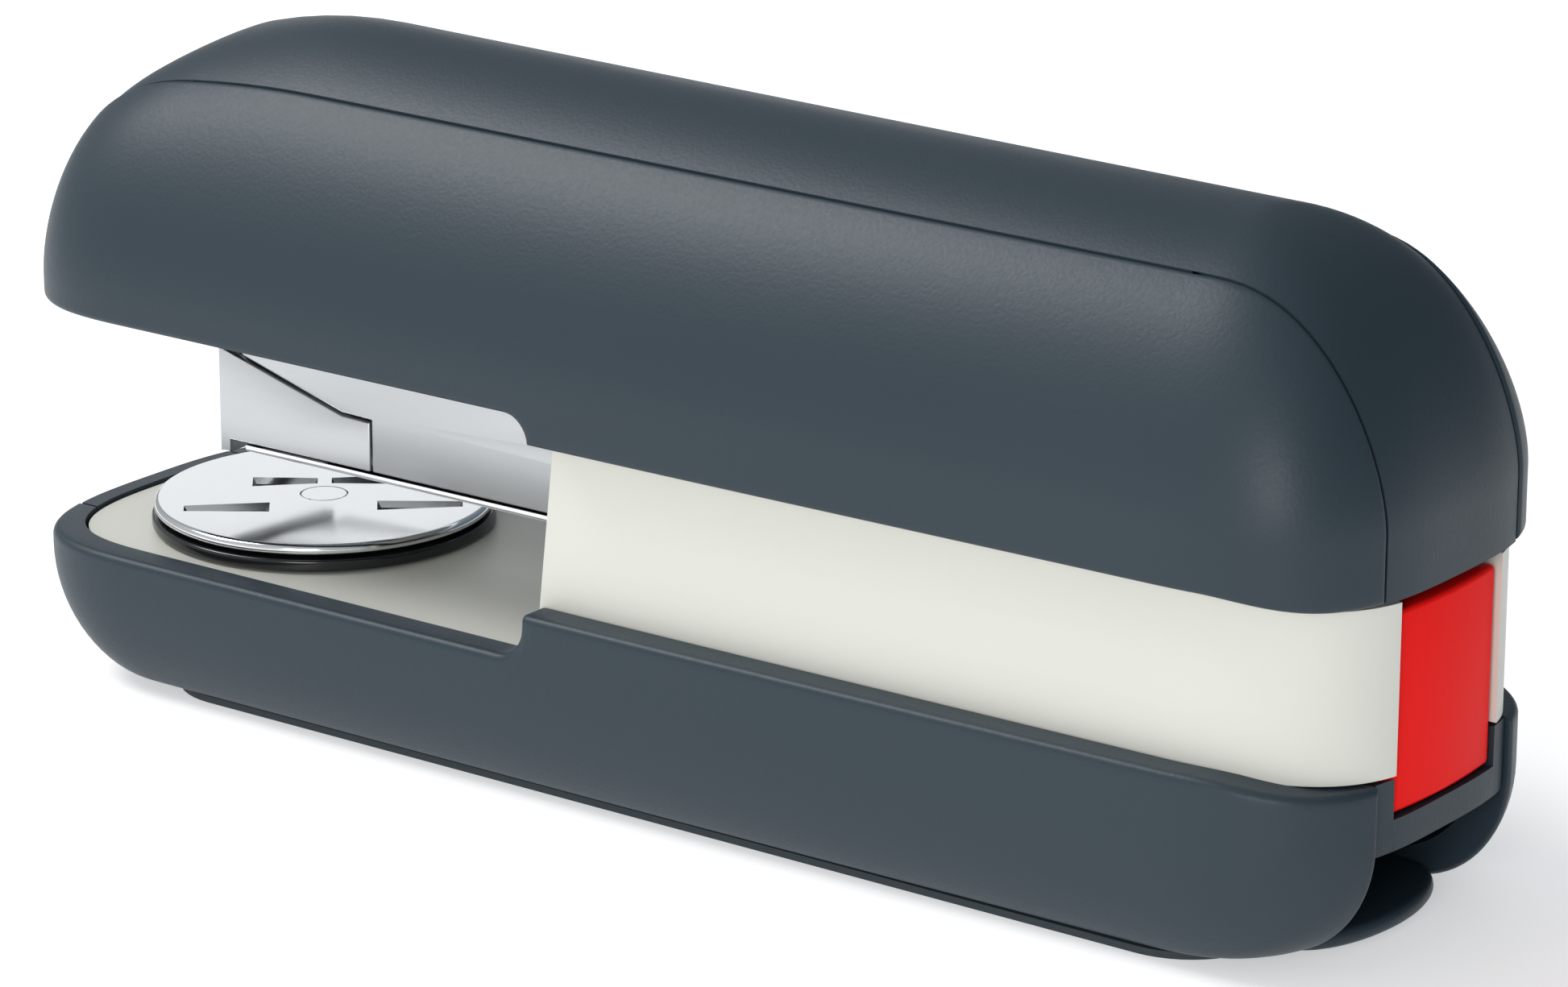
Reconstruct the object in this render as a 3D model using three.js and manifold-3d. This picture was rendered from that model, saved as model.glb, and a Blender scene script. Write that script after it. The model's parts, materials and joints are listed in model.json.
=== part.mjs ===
// Desk stapler with a front-opening staple drawer, a turning anvil and a release button at the rear.
// Millimetres, +Z up. The nose points along -X, the rear along +X, and y = 0 is the plane of symmetry.
// The origin is on the ground under the middle of the stapler.
import * as THREE from "three";
import { ParametricGeometry } from "three/addons/geometries/ParametricGeometry.js";
import { mergeVertices } from "three/addons/utils/BufferGeometryUtils.js";
import Module from "manifold-3d";

const wasm = await Module();
wasm.setup();

// ---- Overall sizes ----
const LENGTH = 150;
const HALF_WIDTH = 21.4;
const NOSE_TIP = 0.5; // tip of the nose outline, which only the recessed middle band would reach
const NOSE_X = -LENGTH / 2 - NOSE_TIP;
const REAR_X = LENGTH / 2;
const NOSE_DEPTH = 18; // length of the rounded nose, seen from above
const TAIL_DEPTH = 20.6; // length of the rounded rear, seen from above
const NOSE_SQUARENESS = 3.1; // superellipse exponents of the two ends
const TAIL_SQUARENESS = 3.2;
const REAR_TAPER = 0.04; // share of its width that the plan loses towards the rear
const GAP = 0.3; // clearance between faces that touch

// ---- Base ----
const SOLE_T = 0.7;
const BASE_BOTTOM = SOLE_T + GAP;
const BASE_TURN = 12.6; // height at which the rounded bottom turns into the upright side
const BASE_SIDE_ROUND = 4.4; // how far the bottom draws in at the sides
const BASE_END_ROUND = 12.2; // how far the bottom is drawn in at the nose
const BASE_TAIL_ROUND = 10.2; // and at the nose and the rear
const RIM_FRONT = 14.4;
const RIM_REAR = 18.7;
const RIM_STEP_X = -10.2;
const RIM_STEP_R = 3;
const BASE_WALL = 3.1;
const BASE_FLOOR = 2;
const BAND_HALF = 10.76; // half the width of the recessed middle band of base and handle
const BAND_DEPTH = 0.65;
const DECK_TOP = 14.05;
const DECK_T = 1.9;
const RECESS_TOP = 11.2; // finger recess under the rear panel
const RECESS_BOTTOM = 2.6;
const RECESS_DEPTH = 12.7;
const RECESS_HALF = BAND_HALF - 0.9;
const TONGUE_REACH = 16; // slab under the recess, measured from the start of the rounded rear

// ---- Cream liner ----
const LINER_TOP = 37;
const LINER_REAR_TOP = 33.2;
const LINER_WALL = 2;
const LINER_FRONT_X = -10.5;
const LINER_LEAN = 1.6;

// ---- Handle ----
const HANDLE_EDGE = 34.6;
const HANDLE_EDGE_FRONT = 37.2;
const HANDLE_TURN = 40; // height at which the dome starts
const HANDLE_TOP = 65.5;
const CROWN_FALL = 2.05; // how much lower the ridge is at the rear
const NOSE_FALL = 10.6; // how far the ridge dips over the nose, and how early it begins to
const NOSE_FALL_RUN = 14.6;
const HANDLE_WALL = 2.2;
const DOME_SIDE = 1.7; // superellipse exponents of the dome: across, over the nose, over the tail
const DOME_NOSE = 1.91;
const DOME_TAIL = 1.64;
const HANDLE_BAND_DEPTH = 0.25;
const HANDLE_STEP_X = -9.4;
const HANDLE_STEP_R = 2.6;

// ---- Steel pieces ----
const SHEET = 1.2;
const THIN_SHEET = 0.8;
const PIVOT_X = 57;
const PIVOT_Z = 30;
const PIVOT_R = 2.5;
const EAR_R = 4.4;
const CHASSIS_HALF = 12.2;
const CHASSIS_TOP = DECK_TOP - DECK_T - GAP;
const LEVER_HALF = CHASSIS_HALF - SHEET - 0.4;
const LEVER_TOP = 51.2;
const LEVER_SKIRT = 42;

// ---- Anvil ----
const ANVIL_X = -52;
const ANVIL_R = 16.5;
const ANVIL_TOP = DECK_TOP + 2.82;
const ANVIL_T = 1.1;
const ANVIL_RING_R = 16.73;
const RIVET_R = 2.3;
const GROOVE_OFFSET = 4.1; // distance of both groove lines from the centre
const ANVIL_REST_TURN = -50; // degrees that it stands turned from closed stapling

// ---- Magazine ----
const STAPLE_CROWN = 12.9;
const STAPLE_WIRE = 0.5;
const STAPLE_LEG = 6;
const RAIL_HALF = STAPLE_CROWN / 2 - STAPLE_WIRE - 0.15;
const HOUSING_INNER = STAPLE_CROWN / 2 + 0.25;
const HOUSING_HALF = HOUSING_INNER + THIN_SHEET;
const MAG_BOTTOM = 22.4;
const LIP_T = 0.55;
const HOUSING_BOTTOM = MAG_BOTTOM + LIP_T + GAP;
const RAIL_FLOOR = MAG_BOTTOM + LIP_T;
const RAIL_TOP = RAIL_FLOOR + STAPLE_LEG - 0.4;
const HOUSING_TOP = 36.8;
const MAG_FRONT = -58.5;
const DRIVER_X = ANVIL_X - GROOVE_OFFSET; // the staples drop over the anvil's groove line
const DRIVER_T = 0.6;
const DRIVER_TIP = RAIL_FLOOR + STAPLE_LEG + 0.65;
const DRIVER_TOP = 50.2;
const DRIVER_HALF = STAPLE_CROWN / 2;
const RAIL_FRONT = DRIVER_X + DRIVER_T / 2 + 0.4;
const RAIL_REAR = 45;
const HEAD_REAR = -39.6; // rear edge of the drawer head's cheeks
const ROD_R = 1.1;
const ROD_Z = RAIL_FLOOR + 3.2;
const PUSHER_L = 8;
const TAB_DROP = 1.8; // how far the drawer's rear end reaches below its floor

// ---- Button and latch ----
const BUTTON_FACE = REAR_X - 0.8;
const BUTTON_HALF = 7.95;
const BUTTON_LOW = 14.4;
const BUTTON_HIGH = 32.5;
const BUTTON_DEPTH = 8;
const BUTTON_TRAVEL = 3;
const STEM_LOW = 21.5;
const STEM_HIGH = 25.2;
const STEM_HALF = 3;
const CROSS_WALL = [61.2, 62.8]; // wall of the liner that the button's spring leans on
const LATCH_X = 49;
const LATCH_Z = DECK_TOP + 4.55;
const TAB_T = 0.9; // the drawer's rear tab, its front plate and the thickness of its sides
const RAIL_END_T = 0.8;
const RAIL_T = 0.7;
const EAR_SPREAD = 2.5; // how much wider an ear is at its foot
const CHASSIS_NECK = 6;
const NECK_HALF = 4.6;
const LATCH_PIN_R = 1.2;
const LATCH_LUG_R = 2.6;

// ---- Colours ----
const SLATE = { color: 0x424f57, roughness: 0.62, metalness: 0 };
const CREAM = { color: 0xdedcd2, roughness: 0.45, metalness: 0 };
const RED = { color: 0xdd2622, roughness: 0.4, metalness: 0 };
const STEEL = { color: 0xc8ccd0, roughness: 0.3, metalness: 1 };
const CHROME = { color: 0xd8dadd, roughness: 0.12, metalness: 1 };
const ZINC = { color: 0xa9adb2, roughness: 0.4, metalness: 1 };
const BLACK = { color: 0x1d2022, roughness: 0.25, metalness: 0 };
const RUBBER = { color: 0x2b3238, roughness: 0.85, metalness: 0 };

const stapler = new THREE.Group();

// ---- Solids ----
function solid(geometry) {
  const bare = geometry.index ? geometry.toNonIndexed() : geometry.clone();
  bare.deleteAttribute("normal");
  bare.deleteAttribute("uv");
  const merged = mergeVertices(bare, 1e-4);
  const corners = merged.index.array;
  const kept = [];
  for (let i = 0; i < corners.length; i += 3) {
    const [a, b, c] = [corners[i], corners[i + 1], corners[i + 2]];
    if (a !== b && b !== c && c !== a) kept.push(a, b, c);
  }
  const vertProperties = new Float32Array(merged.attributes.position.array);
  return new wasm.Manifold(
    new wasm.Mesh({ numProp: 3, vertProperties, triVerts: new Uint32Array(kept) }),
  );
}

function add(name, shape, look) {
  const mesh = shape.getMesh();
  const geometry = new THREE.BufferGeometry();
  geometry.setAttribute("position", new THREE.BufferAttribute(mesh.vertProperties, 3));
  geometry.setIndex(new THREE.BufferAttribute(mesh.triVerts, 1));
  geometry.computeVertexNormals();
  const part = new THREE.Mesh(geometry, new THREE.MeshStandardMaterial(look));
  part.name = name;
  stapler.add(part);
  return part;
}

function join(...pieces) {
  return pieces.reduce((a, b) => a.add(b));
}

function block([x0, x1], [y0, y1], [z0, z1]) {
  const box = new THREE.BoxGeometry(x1 - x0, y1 - y0, z1 - z0);
  return solid(box.translate((x0 + x1) / 2, (y0 + y1) / 2, (z0 + z1) / 2));
}

// A cylinder from one point along X, Y or Z.
function rod(axis, [x, y, z], length, radius, sides = 16) {
  const geometry = new THREE.CylinderGeometry(radius, radius, length, sides);
  geometry.translate(0, length / 2, 0);
  if (axis === "x") geometry.rotateZ(-Math.PI / 2);
  if (axis === "z") geometry.rotateX(Math.PI / 2);
  return solid(geometry.translate(x, y, z));
}

// A side view drawn in X and Z, given its thickness from y0 to y1.
function sideCut(shape, [y0, y1], curveSegments = 10) {
  const geometry = new THREE.ExtrudeGeometry(shape, {
    depth: y1 - y0,
    bevelEnabled: false,
    curveSegments,
  });
  return solid(geometry.rotateX(Math.PI / 2).translate(0, y1, 0));
}

function outline(points) {
  return new THREE.Shape(points.map(([x, z]) => new THREE.Vector2(x, z)));
}

// A pair of like plates at +y and -y.
function plates(shape, [y0, y1]) {
  return join(sideCut(shape, [y0, y1]), sideCut(shape, [-y1, -y0]));
}

// A coil spring of round wire along Z, standing on z0.
class Helix extends THREE.Curve {
  constructor(radius, height, turns) {
    super();
    Object.assign(this, { radius, height, turns });
  }
  getPoint(t, target = new THREE.Vector3()) {
    const angle = 2 * Math.PI * this.turns * t;
    const { radius, height } = this;
    return target.set(radius * Math.cos(angle), radius * Math.sin(angle), height * t);
  }
}

function coil(radius, wire, height, turns) {
  const section = new THREE.Shape();
  section.absarc(0, 0, wire / 2, 0, 2 * Math.PI);
  return new THREE.ExtrudeGeometry(section, {
    steps: Math.round(turns * 8),
    curveSegments: 3,
    extrudePath: new Helix(radius, height - wire, turns),
  }).translate(0, 0, wire / 2);
}

// ---- The long rounded body that base, liner and handle share ----
const NOSE_START = NOSE_X + NOSE_DEPTH;
const TAIL_START = REAR_X - TAIL_DEPTH;
const ARC_STEPS = 7;
const SIDE_STEPS = 6;
const RING_STEPS = 4 * ARC_STEPS + 2 * SIDE_STEPS;

function taper(x) {
  const run = THREE.MathUtils.smoothstep(x, RIM_STEP_X, REAR_X);
  return 1 - REAR_TAPER * run;
}

// Point number k of the plan outline whose half width and end depths are given.
function planPoint(k, { half, nose, tail }) {
  const quarter = ARC_STEPS + SIDE_STEPS;
  const mirrored = k > RING_STEPS / 2;
  const i = mirrored ? RING_STEPS - k : k;
  const side = mirrored ? -1 : 1;
  let x;
  let y;
  if (i <= ARC_STEPS) {
    const angle = (Math.PI / 2) * (i / ARC_STEPS);
    x = TAIL_START + tail * Math.cos(angle) ** (2 / TAIL_SQUARENESS);
    y = half * Math.sin(angle) ** (2 / TAIL_SQUARENESS);
  } else if (i <= quarter) {
    const t = (i - ARC_STEPS) / SIDE_STEPS;
    x = THREE.MathUtils.lerp(TAIL_START, NOSE_START, t);
    y = half;
  } else {
    const angle = (Math.PI / 2) * ((i - quarter) / ARC_STEPS);
    x = NOSE_START - nose * Math.sin(angle) ** (2 / NOSE_SQUARENESS);
    y = half * Math.max(Math.cos(angle), 0) ** (2 / NOSE_SQUARENESS);
  }
  return [x, side * y * taper(x)];
}

// How far the handle's ridge lies below its highest level at x.
function crownDrop(x) {
  const run = THREE.MathUtils.clamp((x - NOSE_START) / (TAIL_START - NOSE_START), 0, 1);
  const ahead = THREE.MathUtils.clamp(NOSE_START + NOSE_FALL_RUN - x, 0, NOSE_FALL_RUN + NOSE_DEPTH);
  return CROWN_FALL * run + NOSE_FALL * (ahead / (NOSE_FALL_RUN + NOSE_DEPTH)) ** 2;
}

// Stacks plan outlines into one closed body. A level is { z, half, nose, tail, fall }.
function loft(levels) {
  const first = { ...levels[0], half: 0, nose: 0, tail: 0 };
  const last = { ...levels.at(-1), half: 0, nose: 0, tail: 0 };
  const stack = [first, ...levels, last];
  const rows = stack.length - 1;
  const point = (u, v, target) => {
    const level = stack[Math.round(v * rows)];
    const [x, y] = planPoint(Math.round(u * RING_STEPS) % RING_STEPS, level);
    target.set(x, y, level.z - (level.fall ?? 0) * crownDrop(x));
  };
  return solid(new ParametricGeometry(point, RING_STEPS, rows));
}

function prism(z0, z1, sizes) {
  return loft([
    { z: z0, ...sizes },
    { z: z1, ...sizes },
  ]);
}

const ROUND_STEPS = 5;

// The base's outer form, moved inwards by an inset.
function baseForm(inset, top, wide = HALF_WIDTH - inset) {
  const levels = [];
  for (let i = 0; i <= ROUND_STEPS; i += 1) {
    const angle = (Math.PI / 2) * (i / ROUND_STEPS);
    const drawn = 1 - Math.sin(angle);
    levels.push({
      z: BASE_TURN - (BASE_TURN - BASE_BOTTOM - Math.min(inset, BASE_FLOOR)) * Math.cos(angle),
      half: Math.min(HALF_WIDTH - inset - BASE_SIDE_ROUND * drawn, wide),
      nose: NOSE_DEPTH - inset - BASE_END_ROUND * drawn,
      tail: TAIL_DEPTH - inset - BASE_TAIL_ROUND * drawn,
    });
  }
  levels.push({ ...levels.at(-1), z: top });
  return loft(levels);
}

// The handle's outer form, moved inwards by an inset.
function handleForm(inset, bottom) {
  const sizes = (c) => {
    const across = Math.max(1 - c ** DOME_SIDE, 0) ** (1 / DOME_SIDE);
    return {
      half: (HALF_WIDTH - inset) * across,
      nose: (NOSE_DEPTH - inset) * Math.max(1 - c ** DOME_NOSE, 0) ** (1 / DOME_NOSE),
      tail: (TAIL_DEPTH - inset) * Math.max(1 - c ** DOME_TAIL, 0) ** (1 / DOME_TAIL),
      fall: c ** 4,
    };
  };
  const levels = [{ z: bottom, ...sizes(0) }];
  const rise = HANDLE_TOP - inset - HANDLE_TURN;
  const steps = 9;
  for (let i = 0; i <= steps; i += 1) {
    const c = Math.sin((Math.PI / 2) * (i / steps)) ** 0.9;
    levels.push({ z: HANDLE_TURN + rise * c, ...sizes(c) });
  }
  return loft(levels);
}

const FAR = LENGTH; // reach of the cutting blocks, past every piece
const LOW = -5;
const HIGH = HANDLE_TOP + 5;
const bandHalf = BAND_HALF - GAP / 2;
const bandBlock = (z0, z1) => block([-FAR, FAR], [-bandHalf, bandHalf], [z0, z1]);
const leftBlock = (z0, z1) => block([-FAR, FAR], [-FAR, -BAND_HALF - GAP / 2], [z0, z1]);
const rightBlock = (z0, z1) => block([-FAR, FAR], [BAND_HALF + GAP / 2, FAR], [z0, z1]);

// ---- Base: two side shells and the middle band ----
const rimCut = new THREE.Shape();
rimCut.moveTo(-FAR, RIM_FRONT);
rimCut.lineTo(RIM_STEP_X - RIM_STEP_R, RIM_FRONT);
rimCut.absarc(RIM_STEP_X - RIM_STEP_R, RIM_FRONT + RIM_STEP_R, RIM_STEP_R, -Math.PI / 2, 0, false);
rimCut.lineTo(RIM_STEP_X, HIGH);
rimCut.lineTo(-FAR, HIGH);
const overRim = sideCut(rimCut, [-FAR, FAR]);

const NOSE_WALL = 2.6;
const RIM_NOSE_WALL = 2.4;
const cavityHalf = HALF_WIDTH - BASE_WALL;
const baseCavity = join(
  baseForm(NOSE_WALL, BASE_TURN + 1, cavityHalf),
  prism(BASE_TURN, RIM_REAR + 1, {
    half: cavityHalf,
    nose: NOSE_DEPTH - RIM_NOSE_WALL,
    tail: TAIL_DEPTH - BASE_WALL,
  }),
);
const baseShell = baseForm(0, RIM_REAR).subtract(overRim).subtract(baseCavity);

const recessCut = new THREE.Shape();
const MOUTH_INSET = 1.8; // the recess is drawn from a point that far inside the rear face
const RECESS_STEPS = 10;
const recessMouth = REAR_X - MOUTH_INSET;
recessCut.moveTo(recessMouth, RECESS_TOP);
for (let i = 1; i <= RECESS_STEPS; i += 1) {
  const angle = (Math.PI / 2) * (1 - i / RECESS_STEPS);
  recessCut.lineTo(
    recessMouth - RECESS_DEPTH * Math.cos(angle),
    RECESS_BOTTOM + (RECESS_TOP - RECESS_BOTTOM) * Math.sin(angle),
  );
}
recessCut.lineTo(FAR, RECESS_BOTTOM);
recessCut.lineTo(FAR, RECESS_TOP);

const recessBlock = baseForm(BAND_DEPTH, RIM_REAR).intersect(
  block([PIVOT_X, FAR], [-FAR, FAR], [LOW, CHASSIS_TOP]),
);
const tongueHalf = RECESS_HALF;
const tongue = new THREE.Shape();
tongue.moveTo(PIVOT_X, -tongueHalf);
const TONGUE_ROUND = 5;
const tongueTurn = TAIL_START + TONGUE_REACH - TONGUE_ROUND;
tongue.lineTo(tongueTurn, -tongueHalf);
tongue.absellipse(tongueTurn, 0, TONGUE_ROUND, tongueHalf, -Math.PI / 2, Math.PI / 2, false);
tongue.lineTo(PIVOT_X, tongueHalf);
const tongueSlab = solid(
  new THREE.ExtrudeGeometry(tongue, {
    depth: RECESS_BOTTOM - BASE_BOTTOM + 1,
    bevelEnabled: false,
    curveSegments: 10,
  }).translate(0, 0, BASE_BOTTOM),
);
const buttonNotch = block(
  [PIVOT_X, FAR],
  [-BUTTON_HALF - GAP, BUTTON_HALF + GAP],
  [BUTTON_LOW - GAP, HIGH],
);

const SCREW_XS = [-45, 40];
const SCREW_Y = 6.6;
const SCREW_R = 1.5;
const SCREW_HEAD_R = 2.8;
const SCREW_HEAD_T = 1.4;
const SCREW_TOP = 9;
function screwWell(x, y) {
  return rod("z", [x, y, LOW], SCREW_TOP - LOW, SCREW_R + GAP).add(
    rod("z", [x, y, LOW], BASE_BOTTOM + SCREW_HEAD_T + GAP - LOW, SCREW_HEAD_R + GAP),
  );
}
const BOSS_R = 3.2;
function boss(x, y) {
  return rod("z", [x, y, BASE_BOTTOM + 0.2], SCREW_TOP + 1.2 - BASE_BOTTOM, BOSS_R);
}
const bosses = join(...SCREW_XS.flatMap((x) => [boss(x, SCREW_Y), boss(x, -SCREW_Y)]));
const wells = join(...SCREW_XS.flatMap((x) => [screwWell(x, SCREW_Y), screwWell(x, -SCREW_Y)]));
add("base_side_left", baseShell.intersect(leftBlock(LOW, HIGH)), SLATE);
add("base_side_right", baseShell.intersect(rightBlock(LOW, HIGH)), SLATE);
add(
  "base_band",
  baseForm(BAND_DEPTH, RIM_REAR)
    .subtract(overRim)
    .subtract(baseCavity)
    .add(recessBlock)
    .intersect(bandBlock(LOW, HIGH))
    .add(tongueSlab)
    .subtract(sideCut(recessCut, [-RECESS_HALF, RECESS_HALF]))
    .subtract(buttonNotch)
    .add(bosses)
    .subtract(wells),
  SLATE,
);
for (const [i, x] of SCREW_XS.entries()) {
  for (const [side, sign] of [["left", -1], ["right", 1]]) {
    const head = rod("z", [x, sign * SCREW_Y, BASE_BOTTOM], SCREW_HEAD_T, SCREW_HEAD_R);
    const shank = rod("z", [x, sign * SCREW_Y, BASE_BOTTOM], SCREW_TOP - 1 - BASE_BOTTOM, SCREW_R, 16);
    add(`base_screw_${i === 0 ? "front" : "rear"}_${side}`, head.add(shank), ZINC);
  }
}

// ---- Rubber sole ----
const SOLE_HALF = HALF_WIDTH - BASE_SIDE_ROUND - 0.1;
const SOLE_FRONT = NOSE_START - 3;
const SOLE_REAR = TAIL_START + 7.6;
const SOLE_R = 8;
function roundedPlan(x0, x1, half, r) {
  const plan = new THREE.Shape();
  plan.absarc(x1 - r, -half + r, r, -Math.PI / 2, 0, false);
  plan.absarc(x1 - r, half - r, r, 0, Math.PI / 2, false);
  plan.absarc(x0 + r, half - r, r, Math.PI / 2, Math.PI, false);
  plan.absarc(x0 + r, -half + r, r, Math.PI, 1.5 * Math.PI, false);
  return plan;
}
function slab(plan, z0, z1, curveSegments = 6) {
  const geometry = new THREE.ExtrudeGeometry(plan, {
    depth: z1 - z0,
    bevelEnabled: false,
    curveSegments,
  });
  return solid(geometry.translate(0, 0, z0));
}
add(
  "sole",
  slab(roundedPlan(SOLE_FRONT, SOLE_REAR, SOLE_HALF, SOLE_R), 0, SOLE_T).subtract(wells),
  RUBBER,
);

// ---- Steel chassis: a folded channel with the two pivot ears ----
function ear(x, z, radius, foot, footZ) {
  const shape = new THREE.Shape();
  shape.moveTo(x + foot, footZ);
  shape.lineTo(x + radius, z);
  shape.absarc(x, z, radius, 0, Math.PI, false);
  shape.lineTo(x - foot, footZ);
  return shape;
}
const pivotHole = rod("y", [PIVOT_X, -FAR, PIVOT_Z], 2 * FAR, PIVOT_R + GAP, 20);
const latchBore = rod("y", [LATCH_X, -FAR, LATCH_Z], 2 * FAR, LATCH_PIN_R + GAP, 16);
const chassisSide = [CHASSIS_HALF - SHEET, CHASSIS_HALF];
const CHASSIS_FRONT = NOSE_START - 8;
const chassisFlange = outline([
  [CHASSIS_FRONT + CHASSIS_NECK, NECK_HALF],
  [PIVOT_X - 2, NECK_HALF],
  [PIVOT_X - 2, CHASSIS_TOP],
  [CHASSIS_FRONT, CHASSIS_TOP],
]);
const chassis = join(
  block(
    [CHASSIS_FRONT, PIVOT_X - GAP],
    [-CHASSIS_HALF, CHASSIS_HALF],
    [CHASSIS_TOP - SHEET, CHASSIS_TOP],
  ),
  plates(chassisFlange, chassisSide),
  plates(ear(PIVOT_X, PIVOT_Z, EAR_R, EAR_R + EAR_SPREAD, CHASSIS_TOP - SHEET), chassisSide),
  plates(ear(LATCH_X, LATCH_Z, LATCH_LUG_R, LATCH_LUG_R + 1, CHASSIS_TOP - SHEET), chassisSide),
);
const rivetHole = rod("z", [ANVIL_X, 0, LOW], HIGH, RIVET_R + GAP);
add("chassis", chassis.subtract(pivotHole).subtract(latchBore).subtract(rivetHole), ZINC);

// ---- Cream liner: deck, side walls and the rear frame round the button ----
const linerHalf = cavityHalf - GAP;
const linerNose = NOSE_DEPTH - RIM_NOSE_WALL - GAP;
const linerTail = TAIL_DEPTH - BASE_WALL - GAP;
const deck = prism(DECK_TOP - DECK_T, DECK_TOP, {
  half: linerHalf,
  nose: linerNose,
  tail: linerTail,
});
const linerInner = {
  half: linerHalf - LINER_WALL,
  nose: linerNose - LINER_WALL,
  tail: linerTail - LINER_WALL,
};
const lowerWall = prism(DECK_TOP - 1, RIM_REAR + 2, {
  half: linerHalf,
  nose: linerNose,
  tail: linerTail,
});
const upperWall = prism(RIM_REAR + GAP, LINER_TOP, {
  half: linerHalf,
  nose: linerNose,
  tail: TAIL_DEPTH - GAP,
});
const linerWalls = join(lowerWall, upperWall).subtract(
  prism(DECK_TOP - 2, HIGH, linerInner),
);
const wallFront = outline([
  [-FAR, LOW],
  [LINER_FRONT_X - LINER_LEAN * 0.3, LOW],
  [LINER_FRONT_X, RIM_REAR],
  [LINER_FRONT_X + LINER_LEAN, HANDLE_EDGE],
  [LINER_FRONT_X + LINER_LEAN * 1.2, HIGH],
  [-FAR, HIGH],
]);
const LINER_DROP_X = TAIL_START + 4;
const CROSS_HALF = BUTTON_HALF + GAP + 0.35; // reaches into the side walls beside the button
const crossWall = block(CROSS_WALL, [-CROSS_HALF, CROSS_HALF], [DECK_TOP - 1, BUTTON_HIGH - 1]);
const STEM_PLAY = 0.5;
const stemWindow = block(
  [CROSS_WALL[0] - 1, CROSS_WALL[1] + 1],
  [-STEM_HALF - STEM_PLAY, STEM_HALF + STEM_PLAY],
  [STEM_LOW - STEM_PLAY, STEM_HIGH + STEM_PLAY],
);
const slotFront = LATCH_X - LATCH_LUG_R - 1 - 2 * GAP;
const slotRear = PIVOT_X + EAR_R + EAR_SPREAD + GAP + 0.4;
const earSlots = plates(
  outline([
    [slotFront, LOW],
    [slotRear, LOW],
    [slotRear, DECK_TOP + 1],
    [slotFront, DECK_TOP + 1],
  ]),
  [CHASSIS_HALF - SHEET - GAP, CHASSIS_HALF + GAP],
);
const buttonOpening = block(
  [BUTTON_FACE - BUTTON_DEPTH - BUTTON_TRAVEL + 0.8, FAR],
  [-BUTTON_HALF - GAP, BUTTON_HALF + GAP],
  [BUTTON_LOW - GAP, HIGH],
);
add(
  "liner",
  linerWalls
    .subtract(sideCut(wallFront, [-FAR, FAR]))
    .subtract(block([LINER_DROP_X, FAR], [-FAR, FAR], [LINER_REAR_TOP, HIGH]))
    .add(deck)
    .add(crossWall)
    .subtract(stemWindow)
    .subtract(earSlots)
    .subtract(rivetHole)
    .subtract(buttonOpening),
  CREAM,
);

// ---- Anvil: chromed disc with two pairs of grooves, its turning ring, rivet and spring washer ----
function lathe(points, segments = 40) {
  const profile = points.map(([r, z]) => new THREE.Vector2(r, z));
  return new THREE.LatheGeometry(profile, segments).rotateX(Math.PI / 2);
}
const edgeRound = ANVIL_T / 2;
const discProfile = [[0, ANVIL_TOP - ANVIL_T]];
for (let i = 0; i <= 4; i += 1) {
  const angle = -Math.PI / 2 + Math.PI * (i / 4);
  discProfile.push([
    ANVIL_R - edgeRound + edgeRound * Math.cos(angle),
    ANVIL_TOP - edgeRound + edgeRound * Math.sin(angle),
  ]);
}
discProfile.push([0, ANVIL_TOP]);
// A groove is a shallow pocket, wide at one end and narrow at the other, turned about the disc's centre.
const GROOVE_WIDE = 1; // half widths of a groove's two ends
const GROOVE_NARROW = 0.55;
const GROOVE_CUT = 0.7;
const GROOVE_L = 6;
const LEG_PLAY = 0.4;
function groove(offset, wideEnd, narrowEnd) {
  const shape = outline([
    [offset - GROOVE_WIDE, wideEnd],
    [offset + GROOVE_WIDE, wideEnd],
    [offset + GROOVE_NARROW, narrowEnd],
    [offset - GROOVE_NARROW, narrowEnd],
  ]);
  const geometry = new THREE.ExtrudeGeometry(shape, { depth: GROOVE_CUT + 1, bevelEnabled: false });
  geometry.translate(0, 0, ANVIL_TOP - GROOVE_CUT);
  return geometry;
}
const halfCrown = STAPLE_CROWN / 2;
const grooves = [-1, 1].flatMap((side) => [
  groove(-GROOVE_OFFSET, side * (halfCrown + LEG_PLAY), side * (halfCrown + LEG_PLAY - GROOVE_L)),
  groove(GROOVE_OFFSET, side * (halfCrown - 1), side * (halfCrown - 1 + 1.3 * GROOVE_L)),
]);
const restTurn = THREE.MathUtils.degToRad(ANVIL_REST_TURN);
function atAnvil(geometry) {
  return solid(geometry.rotateZ(restTurn).translate(ANVIL_X, 0, 0));
}
const discBore = rod("z", [ANVIL_X, 0, LOW], HIGH, RIVET_R + GAP, 24);
const disc = grooves.reduce((whole, cut) => whole.subtract(atAnvil(cut)), atAnvil(lathe(discProfile)));
add("anvil_disc", disc.subtract(discBore), CHROME);
const RING_LIFT = 0.25; // the ring turns that far above the deck
const ringTop = ANVIL_TOP - ANVIL_T - GAP;
const ringBottom = DECK_TOP + RING_LIFT;
const ringProfile = [
  [RIVET_R + GAP, ringBottom],
  [ANVIL_RING_R, ringBottom],
  [ANVIL_RING_R, ringTop],
  [RIVET_R + GAP, ringTop],
  [RIVET_R + GAP, ringBottom],
];
add("anvil_ring", atAnvil(lathe(ringProfile)), BLACK);
const WASHER_T = 1;
const WASHER_RIM = 2.6;
const rivetFoot = CHASSIS_TOP - SHEET - WASHER_T - 2 * GAP;
const RIVET_FLANGE = 1.2;
const RIVET_FLANGE_T = 0.9;
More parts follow.
